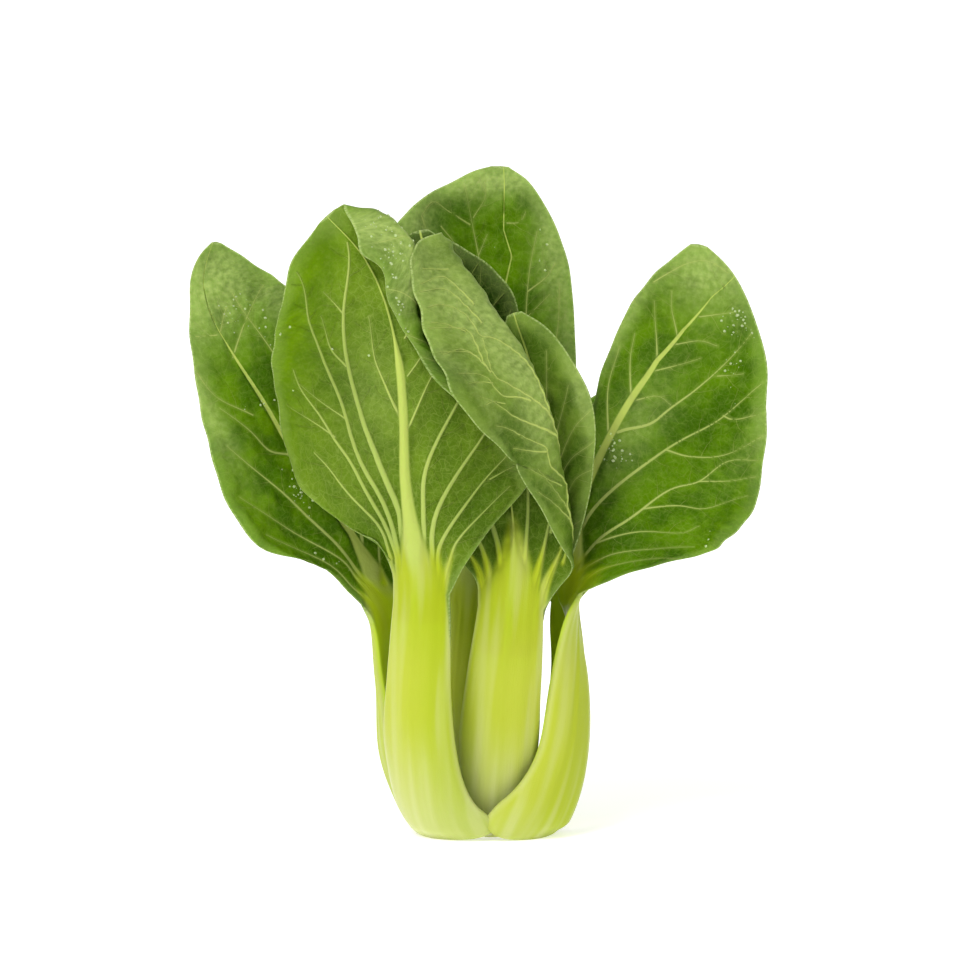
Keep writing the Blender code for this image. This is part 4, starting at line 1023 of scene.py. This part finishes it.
def leaf_material(name, tint, sizes, inner_face, outer_face, gloss, shade_side, fresh):
    """Stalk and blade of one leaf: broad bands, net of veins, pale margin, a skin for each face, and
    painted light and shade.
    """
    w = Weave(name)
    flat = w.node("ShaderNodeUVMap", uv_map="Flat").outputs[0]
    adaxial, blade, height = w.value("adaxial"), w.value("blade"), w.value("height")
    clear, margin, across = w.value("clear"), w.value("margin"), w.value("across")
    bloom, glow, deep = w.value("bloom"), w.value("glow"), w.value("deep")
    rib = w.math("ABSOLUTE", w.value("rib"))
    # The stalk goes from cream at its foot to fresh green at its top, with broad bands and fine fibres. One
    # side of it is painted in shade, greener, and its hollow inner face is painted lit.
    fibre = w.noise(flat, 40.0, 3.0, (9.0, 0.4, 1.0))
    band = w.noise(flat, 8.0, 1.2, (3.0, 0.2, 1.0))
    low, middle, streak = tint["stalk_low"], tint["stalk_middle"], tint["stalk_streak"]
    # Painted shade: the stalk is greener towards one side, as shade falls, mixed with its broad bands.
    edge = w.ramp(w.plus(w.times(across, shade_side), w.times(band, 0.6)), -0.1 - fresh, 1.2 - fresh)
    climb = w.ramp(w.plus(height, w.times(band, 0.3)), 0.15 - 0.4 * fresh, 0.75 - fresh)
    stalk = w.blend(climb, low, middle)
    for share, colour in (
            (w.ramp(height, 0.65, 1.0), tint["stalk_high"]),
            (w.times(edge, 0.6), streak),
            (w.times(w.ramp(band, 0.54, 0.34), 0.28), low),
            (w.times(w.ramp(fibre, 0.5, 0.75), 0.10), streak),
            (w.ramp(w.math("ABSOLUTE", across), 0.86, 1.0, 0.0, 0.4), low),
            # Painted light: the hollow inner face is brightened as if light shone through the stalk.
            (w.times(adaxial, w.ramp(height, 0.1, 0.5, 0.0, 0.7)), tint["stalk_inside"])):
        stalk = w.blend(share, stalk, colour)
    # The blade's skin is darker in random mottled patches and holds a net of fine veins; painted sheen,
    # painted glow and painted shade are laid over it in patches.
    mottle = w.noise(flat, 7.0, 5.0)
    speck = w.noise(flat, 60.0, 4.0)
    face = w.blend(adaxial, tint[outer_face], tint[inner_face])
    # Painted glow: bright yellow-green where light would shine through the blade.
    face = w.blend(w.times(glow, w.ramp(mottle, 0.3, 0.7, 0.75, 1.0)), face, tint["glow"])
    shade = w.blend(1.0, face, SKIN_SHADE, "MULTIPLY")
    painted_deep_shade = w.blend(1.0, shade, DEEP_SHADE, "MULTIPLY")
    dark = w.times(w.ramp(mottle, 0.60, 0.38, 0.0, 0.9), w.ramp(adaxial, 0.0, 1.0, 0.5, 1.0))
    skin = w.blend(dark, face, shade)
    # Painted shade: darker where the leaf lies deep between others or under a fold.
    skin = w.blend(w.times(deep, w.ramp(mottle, 0.7, 0.3, 0.7, 1.0)), skin, painted_deep_shade)
    # Painted sheen: pale silvery colour where light would glance off the blade.
    skin = w.blend(w.times(bloom, w.ramp(speck, 0.25, 0.75, 0.45, 0.95)), skin, tint["bloom"])
    skin = w.blend(w.ramp(speck, 0.45, 0.75, 0.0, 0.3), skin, w.blend(0.25, skin, tint["vein"]))
    # Painted sheen: a little of it along the margin.
    skin = w.blend(w.ramp(margin, 5.0, 0.5, 0.0, 0.2), skin, tint["bloom"])
    warp = w.node("ShaderNodeTexNoise", {"Vector": flat, "Scale": 25.0, "Detail": 1.0}).outputs["Color"]
    bent = w.shift("ADD", flat, w.shift("MULTIPLY", warp, NET_WARP))
    cells, small = w.net(bent, 34.0), w.net(bent, 85.0)
    threads = w.math("MAXIMUM", w.ramp(cells, 0.05, 0.0), w.ramp(small, 0.10, 0.0, 0.0, 0.5))
    # Veins are painted darker inside the painted glow, as against light shining through, and inside painted
    # shade.
    vein = w.blend(w.times(glow, w.ramp(clear, 0.0, 2.0, 0.55, 1.0)), tint["vein"], shade)
    vein = w.blend(w.times(deep, 0.55), vein, shade)
    rough_rim = w.ramp(w.noise(flat, 130.0, 1.0), 0.38, 0.58, 0.15, 0.65)
    for share, colour in (
            (w.times(threads, w.ramp(adaxial, 0.0, 1.0, 0.22, 0.12)), vein),
            (w.ramp(clear, 0.9, 0.2, 0.0, 0.16), vein),
            (w.ramp(w.value("line"), 0.22, 0.72, 0.0, 0.92), vein),
            (w.ramp(rib, 1.15, 0.7), w.blend(0.25, tint["vein"], middle)),
            (w.times(w.ramp(margin, 0.5, 0.12), rough_rim), tint["margin"])):
        skin = w.blend(share, skin, colour)
    # Fine relief and gloss.
    bare = w.math("SUBTRACT", 1.0, blade)
    relief = w.plus(w.plus(w.times(cells, 0.5), w.times(small, 0.15)), w.times(mottle, 2.2))
    relief = w.plus(w.times(relief, blade), w.times(w.noise(flat, 200.0, 2.0), 0.10))
    w.bump(0.5, sizes.grain_depth, w.plus(relief, w.times(bare, w.times(fibre, 0.2))))
    blade_rough = w.plus(w.ramp(adaxial, 0.0, 1.0, 0.55, gloss), w.ramp(mottle, 0.3, 0.7, -0.06, 0.08))
    stalk_rough = w.ramp(band, 0.3, 0.7, 0.28, 0.40)
    return w.finished({
        "Base Color": w.blend(blade, stalk, skin),
        "Roughness": w.plus(w.times(blade, blade_rough), w.times(bare, stalk_rough)),
        "Specular IOR Level": 0.06, "Specular Tint": (0.85, 1.0, 0.3),
        "Subsurface Weight": 0.15, "Subsurface Radius": (0.6, 1.0, 0.2), "Subsurface Scale": 0.002,
    })


def water_material():
    """Clear water, with a faint painted glow from a small emission."""
    w = Weave("water")
    ripples = w.noise(w.node("ShaderNodeTexCoord").outputs["Object"], 900.0, 1.0)
    w.bump(0.05, 0.0002, ripples)
    return w.finished({
        "Base Color": (0.86, 1.0, 0.55), "Transmission Weight": 0.7, "IOR": 1.33, "Roughness": 0.02,
        "Emission Color": (0.9, 1.0, 0.5), "Emission Strength": 0.1,
    })


def base_material(tint):
    """The cut underside and the fused foot: cream, with rings and cut fibres."""
    w = Weave("fused_base")
    rings = w.noise(w.node("ShaderNodeTexCoord").outputs["Object"], 900.0, 3.0)
    w.bump(0.3, 0.0004, rings)
    tone = w.blend(w.ramp(rings, 0.35, 0.7), tint["base"], tint["stalk_low"])
    return w.finished({"Base Color": tone, "Roughness": 0.55})


FLOOR_GLOW = 0.45         # the floor is lit a little from below, as on a light table


def floor_material():
    """Plain, nearly white studio floor."""
    w = Weave("studio_floor")
    shade = w.noise(w.node("ShaderNodeTexCoord").outputs["Object"], 1.5, 2.0)
    return w.finished({
        "Base Color": w.blend(shade, (0.93, 0.93, 0.93), (0.95, 0.95, 0.95)), "Roughness": 0.9,
        "Emission Color": (1.0, 1.0, 1.0), "Emission Strength": FLOOR_GLOW,
    })


# Settings ----------------------------------------------------------------------------------------

def linear(colour):
    """sRGB 0-255 to the linear values that a shader takes."""
    parts = np.asarray(colour) / 255.0
    bright = ((parts + 0.055) / 1.055) ** 2.4
    return tuple(float(v) for v in np.where(parts <= 0.04045, parts / 12.92, bright))


def colour_setting(name, description, value):
    """A colour that a user can change."""
    return bpy.props.FloatVectorProperty(
        name=name, description=description, subtype="COLOR", size=3, min=0.0, max=1.0,
        default=linear(value))


def length_setting(name, description, value):
    """A length that a user can change."""
    return bpy.props.FloatProperty(
        name=name, description=description, default=value, min=0.0, subtype="DISTANCE", unit="LENGTH",
        precision=5)


class BokChoySizes(bpy.types.PropertyGroup):
    """Sizes of the fine forms."""

    vein_height: length_setting("Vein height", "How far side veins stand out of the outer face", 0.00045)
    pucker: length_setting("Pucker", "How far the panels between veins swell to the inner face", 0.0009)
    corrugation: length_setting("Corrugation", "Height of the fine waves of the leaf folded over", 0.00027)
    stalk_flute: length_setting("Stalk flute", "Depth of the broad flutes along a stalk", 0.00008)
    ruffle: length_setting("Ruffle", "Height of the small waves along a margin", 0.0008)
    grain_depth: length_setting("Grain depth", "Depth of the net of fine veins", 0.0007)
    drop_radius: length_setting("Drop radius", "Radius of the largest water drop", 0.0005)


class BokChoyColours(bpy.types.PropertyGroup):
    """Colours of the head."""

    stalk_low: colour_setting("Stalk, low", "Stalk near its foot", (200, 205, 140))
    stalk_middle: colour_setting("Stalk, middle", "Stalk half way up", (182, 191, 66))
    stalk_high: colour_setting("Stalk, high", "Stalk where the blade starts", (168, 184, 44))
    stalk_streak: colour_setting("Stalk streak", "Broad fresh bands along a stalk", (158, 178, 14))
    # Painted light: bright colour of the hollow face, as if light shone through the stalk.
    stalk_inside: colour_setting("Stalk, inner face", "Hollow face of a stalk", (188, 214, 20))
    vein: colour_setting("Vein", "Veins of a blade", (176, 194, 100))
    margin: colour_setting("Margin", "Thin line round a blade", (176, 194, 124))
    # Painted sheen: silvery colour that stands in for light glancing off a blade.
    bloom: colour_setting("Bloom", "Silvery bloom of a blade", (160, 180, 100))
    # Painted glow: bright colour that stands in for light shining through a thin blade.
    glow: colour_setting("Glow", "Thin, bright part of a blade", (96, 130, 0))
    glossy: colour_setting("Inner face", "Inner, glossy face of the outer leaves", (84, 122, 0))
    matt: colour_setting("Outer face", "Outer, matt face of the leaves", (100, 128, 28))
    grey: colour_setting("Greyish face", "Inner face of the leaf folded to the front", (100, 128, 36))
    # Painted shade: a dark face that stands in for the shade deep in the heart.
    deep: colour_setting("Deep face", "Leaves in the shade of the heart", (44, 76, 0))
    young: colour_setting("Young face", "Leaf of the heart", (146, 172, 50))
    base: colour_setting("Base", "Cut foot of the stalks", (222, 224, 176))


# Inner face, outer face, roughness of the inner face, the side of the stalk that is painted in shade
# (greener, with the other side painted lit), and how much fresher than the others it is. The darkest face
# colour is painted shade deep in the heart.
PLAIN_FACES_AND_SHADE = ("glossy", "matt", 0.36, 0.3, 0.0)
LEAF_FACES_AND_SHADE = {
    "front_left": ("glossy", "matt", 0.34, 0.8, 0.0),
    "front": ("grey", "matt", 0.42, -0.25, 0.0),
    "right": ("glossy", "matt", 0.40, 0.5, 0.4),
    "left": ("glossy", "matt", 0.32, 0.5, 0.0),
    "inner_right": ("grey", "deep", 0.45, 0.3, 0.0),
    "inner_left": ("matt", "deep", 0.45, 0.3, 0.0),
    "inner_back": ("glossy", "matt", 0.42, 0.3, 0.0),
    "heart": ("young", "young", 0.45, 0.3, 0.0),
}

# Groups of water drops: the leaf, its face, the middle and spread (along, aside), and how many.
DROPS = {
    "drops_left": [
        ("left", 1, 104, -4, 4, 4, 34), ("left", 1, 74, 2, 2, 3, 10), ("left", 1, 46, 3, 3, 2, 40),
        ("left", 1, 22, 8, 4, 3, 8), ("left", 1, 90, -14, 3, 3, 20),
    ],
    "drops_front_left": [
        ("front_left", 1, 107, 19, 4, 4, 50), ("front_left", 1, 97, 24, 3, 3, 30),
        ("front_left", 1, 84, 18, 5, 2, 26), ("front_left", 0, 60, -20, 22, 14, 4),
        ("front_left", 0, 96, -30, 14, 8, 3),
    ],
    "drops_right": [
        ("right", 1, 46, -4, 2.5, 3, 40), ("right", 1, 97, -17, 3, 3, 40), ("right", 1, 86, -22, 3, 2, 20),
        ("right", 1, 26, -46, 4, 3, 6),
    ],
    "drops_back": [("back", 1, 100, -12, 9, 2, 5), ("back", 1, 104, 18, 8, 8, 3)],
}
DROP_RINGS = ((0.0, 1.0), (0.42, 0.86), (0.78, 0.52), (0.97, 0.12), (0.9, -0.35))   # outline: wide, high
DROP_SIDES = 9
DROP_FLATNESS = 0.62      # height of a drop, as a share of its radius
DROP_SMALLEST = 0.35      # its square is the smallest drop's radius, as a share of the largest
DROP_STRETCH = (0.8, 1.3)                 # how much longer one way than the other
DROP_MARGIN = 1.5         # drops keep this far from the margin
DROP_LAST_ROW = 0.96      # and below this row
OUTER_LEAVES = ("front_left", "front", "right", "back_right", "back", "back_left", "left")
INNER_LEAVES = ("inner_right", "inner_left", "inner_back", "heart")


def make_leaves(context, names):
    """Builds the named leaves and sets them over their solids."""
    sizes, tint = context.scene.bok_choy_sizes, tints(context.scene.bok_choy_colours)
    for name in names:
        surface = leaf_material(f"leaf_{name}", tint, sizes, *LEAF_FACES_AND_SHADE.get(name, PLAIN_FACES_AND_SHADE))
        piece = build_leaf(Leaf(name), sizes, surface)
        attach(piece, "root")
        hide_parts(f"stalk_{name}", f"blade_{name}")


def make_drops(name, groups, sizes, surface):
    """Beads of water scattered over a leaf in groups, as one piece."""
    rng = np.random.default_rng(len(name))
    points, faces = [], []
    turn = np.linspace(0.0, 2.0 * np.pi, DROP_SIDES, endpoint=False)[:, None]
    for leaf_name, face, along, aside, long_spread, wide_spread, count in groups:
        leaf = Leaf(leaf_name)
        flat = np.stack([rng.normal(along, long_spread, count), rng.normal(aside, wide_spread, count)])
        radius = sizes.drop_radius / MM * rng.uniform(DROP_SMALLEST, 1.0, count) ** 2.0
        row, column = leaf.grid_place(*flat)
        *heights, values = surface_at(leaf, sizes, vein_curves(leaf), *flat, row, column)
        seat = leaf.point(*flat, heights[face])
        normal = unit(leaf.point(*flat, heights[face] + (1.0, -1.0)[face]) - seat)
        side = unit(np.cross(normal, np.array([0.3, 0.2, 1.0])))
        other = np.cross(normal, side)
        for k in np.nonzero((values["margin"] > DROP_MARGIN) & (row < DROP_LAST_ROW))[0]:
            first = sum(len(part) for part in points)
            stretch = rng.uniform(*DROP_STRETCH)
            ring = np.cos(turn) * side[k] * stretch + np.sin(turn) * other[k]
            for wide, high in DROP_RINGS:
                points.append(seat[k] + radius[k] * (wide * ring + DROP_FLATNESS * high * normal[k]))
            index = first + np.arange(len(DROP_RINGS) * DROP_SIDES).reshape(-1, DROP_SIDES)
            nxt = np.roll(index, -1, axis=1)
            faces.append(np.stack([index[:-1], index[1:], nxt[1:], nxt[:-1]], -1).reshape(-1, 4))
    return add_mesh(name, np.vstack(points), np.vstack(faces), surface)


class BOKCHOY_OT_drops(bpy.types.Operator):
    """Scatter water drops over the blades"""

    bl_idname = "bokchoy.drops"
    bl_label = "Water drops"

    def execute(self, context):
        surface = water_material()
        for name, groups in DROPS.items():
            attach(make_drops(name, groups, context.scene.bok_choy_sizes, surface), "root")
        return {"FINISHED"}


class BOKCHOY_OT_outer_leaves(bpy.types.Operator):
    """Build the seven outer leaves"""

    bl_idname = "bokchoy.outer_leaves"
    bl_label = "Outer leaves"

    def execute(self, context):
        make_leaves(context, OUTER_LEAVES)
        return {"FINISHED"}


class BOKCHOY_OT_inner_leaves(bpy.types.Operator):
    """Build the leaves of the heart"""

    bl_idname = "bokchoy.inner_leaves"
    bl_label = "Inner leaves"

    def execute(self, context):
        make_leaves(context, INNER_LEAVES)
        return {"FINISHED"}


# The fused foot: its outline from below, as shares of the solid's radius and height, and its lobes.
BASE_OUTLINE = (
    (0.0, 0.0), (1.45, 0.0), (1.68, 0.06), (1.72, 0.25), (1.6, 0.5), (1.35, 0.75), (1.0, 0.92), (0.5, 1.0),
    (0.0, 1.02),
)
BASE_SIDES = 96
BASE_LOBES = 7
LOBE_SWELL = 0.05


class BOKCHOY_OT_base(bpy.types.Operator):
    """Build the fused foot that carries the stalks"""

    bl_idname = "bokchoy.base"
    bl_label = "Fused base"

    def execute(self, context):
        low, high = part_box("stem_butt")
        radius = 0.5 * (high.x - low.x) / MM
        turn = np.linspace(0.0, 2.0 * np.pi, BASE_SIDES, endpoint=False)
        rings = []
        for wide, up in BASE_OUTLINE:
            reach = wide * radius * (1.0 + LOBE_SWELL * np.cos(BASE_LOBES * turn))
            height = np.full_like(turn, up * high.z / MM)
            rings.append(np.stack([reach * np.cos(turn), reach * np.sin(turn), height], -1))
        points = np.concatenate(rings[1:-1] + [rings[0][:1], rings[-1][:1]])
        index = np.arange(len(points) - 2).reshape(-1, BASE_SIDES)
        nxt = np.roll(index, -1, axis=1)
        faces = np.stack([index[:-1], nxt[:-1], nxt[1:], index[1:]], -1).reshape(-1, 4).tolist()
        for middle, start, end in ((index.size, nxt[0], index[0]), (index.size + 1, index[-1], nxt[-1])):
            faces += [(middle, int(one), int(other)) for one, other in zip(start, end)]
        mesh = bpy.data.meshes.new("stem_base")
        mesh.from_pydata((points * MM).tolist(), [], faces)
        mesh.shade_smooth()
        mesh.materials.append(base_material(tints(context.scene.bok_choy_colours)))
        piece = bpy.data.objects.new("stem_base", mesh)
        context.scene.collection.objects.link(piece)
        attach(piece, "root")
        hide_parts("stem_butt")
        return {"FINISHED"}


class BOKCHOY_OT_studio(bpy.types.Operator):
    """Set the floor, the light and the camera"""

    bl_idname = "bokchoy.studio"
    bl_label = "Studio"

    def execute(self, context):
        make_floor(context)
        make_light(context)
        make_camera(context)
        return {"FINISHED"}


# The stage, in metres.
FLOOR_RADIUS = 30.0
FLOOR_SIDES = 64


def make_floor(context):
    """A wide flat floor under the head."""
    bpy.ops.mesh.primitive_circle_add(
        vertices=FLOOR_SIDES, radius=FLOOR_RADIUS, fill_type="NGON", location=(0, 0, SOLID_BOX[0].z))
    floor = context.object
    floor.name = "studio_floor"
    floor.data.materials.append(floor_material())


BACKDROP_LIGHT = 0.54     # how strongly the backdrop lights the head
BACKDROP_SEEN = 1.02      # how bright it looks itself
# A very wide sun from the upper left in front, and soft lamps for gloss: name, kind, place, power and size.
LAMPS = (
    ("wide_sun", "SUN", (-0.45, -0.6, 1.0), 1.45, np.radians(30.0)),
    ("key_lamp", "AREA", (-0.55, -0.75, 0.85), 2.6, 0.35),
    ("fill_lamp", "AREA", (0.8, -0.6, 0.5), 0.8, 0.6),
    ("back_lamp", "AREA", (0.3, 0.9, 0.9), 1.6, 0.6),
)


def make_light(context):
    """Even white light all round, on a backdrop that looks white, and the lamps."""
    world = bpy.data.worlds.new("studio")
    world.use_nodes = True
    backdrop = world.node_tree.nodes["Background"]
    backdrop.inputs["Color"].default_value = (1.0, 1.0, 1.0, 1.0)
    nodes, links = world.node_tree.nodes, world.node_tree.links
    seen = nodes.new("ShaderNodeLightPath")
    strength = nodes.new("ShaderNodeMapRange")
    strength.inputs["To Min"].default_value = BACKDROP_LIGHT
    strength.inputs["To Max"].default_value = BACKDROP_SEEN
    links.new(seen.outputs["Is Camera Ray"], strength.inputs["Value"])
    links.new(strength.outputs["Result"], backdrop.inputs["Strength"])
    context.scene.world = world
    for lamp in LAMPS:
        add_light(context, *lamp)


def add_light(context, name, kind, place, power, size):
    """A sun or a square lamp that shines on the middle of the head."""
    light = bpy.data.lights.new(name, kind)
    light.energy = power
    if kind == "SUN":
        light.angle = size
    else:
        light.size = size
    made = bpy.data.objects.new(name, light)
    made.location = place
    middle = Vector((0.0, 0.0, 0.5 * SOLID_BOX[1].z))
    made.rotation_euler = (middle - made.location).to_track_quat("-Z", "Y").to_euler()
    context.scene.collection.objects.link(made)


CAMERA_DISTANCE = 4.0
CAMERA_RISE = np.radians(8.0)
SENSOR_WIDTH = 36.0       # in millimetres
FRAME_WIDTH = 0.288       # width of what the camera sees at the head
AIM = (-0.0021, 0.1047)   # the picture's middle: across, and up in the picture, from the frame's origin
CLIP_END = 60.0


def make_camera(context):
    """A long lens, a little above the head's middle."""
    camera = bpy.data.cameras.new("camera")
    camera.sensor_width = SENSOR_WIDTH
    camera.lens = SENSOR_WIDTH * CAMERA_DISTANCE / FRAME_WIDTH
    camera.clip_end = CLIP_END
    back = Vector((0.0, -np.cos(CAMERA_RISE), np.sin(CAMERA_RISE)))
    up = Vector((0.0, np.sin(CAMERA_RISE), np.cos(CAMERA_RISE)))
    target = Vector((AIM[0], 0.0, 0.0)) + up * AIM[1]
    made = bpy.data.objects.new("camera", camera)
    made.location = target + back * CAMERA_DISTANCE
    made.rotation_mode = "QUATERNION"
    made.rotation_quaternion = (-back).to_track_quat("-Z", "Y")
    context.scene.collection.objects.link(made)
    context.scene.camera = made
    context.scene.view_settings.view_transform = "Standard"


class BOKCHOY_PT_panel(bpy.types.Panel):
    """Sizes, colours and steps of the head"""

    bl_idname = "BOKCHOY_PT_panel"
    bl_label = "Bok choy"
    bl_space_type = "VIEW_3D"
    bl_region_type = "UI"
    bl_category = "Bok Choy"

    def draw(self, context):
        column = self.layout.column(align=True)
        for group in (context.scene.bok_choy_sizes, context.scene.bok_choy_colours):
            for key in group.__annotations__:
                column.prop(group, key)
        for step in STEPS:
            column.operator(step.bl_idname)


STEPS = (
    BOKCHOY_OT_base, BOKCHOY_OT_outer_leaves, BOKCHOY_OT_inner_leaves, BOKCHOY_OT_drops, BOKCHOY_OT_studio,
)
CLASSES = (BokChoySizes, BokChoyColours, *STEPS, BOKCHOY_PT_panel)


def register():
    """Adds the settings, the operators and the panel."""
    for part in CLASSES:
        bpy.utils.register_class(part)
    bpy.types.Scene.bok_choy_sizes = bpy.props.PointerProperty(type=BokChoySizes)
    bpy.types.Scene.bok_choy_colours = bpy.props.PointerProperty(type=BokChoyColours)


def unregister():
    """Takes them away again."""
    del bpy.types.Scene.bok_choy_colours
    del bpy.types.Scene.bok_choy_sizes
    for part in reversed(CLASSES):
        bpy.utils.unregister_class(part)


def main():
    """Builds every piece in order."""
    register()
    bpy.ops.bokchoy.base()
    bpy.ops.bokchoy.outer_leaves()
    bpy.ops.bokchoy.inner_leaves()
    bpy.ops.bokchoy.drops()
    bpy.ops.bokchoy.studio()


if __name__ == "__main__":
    main()
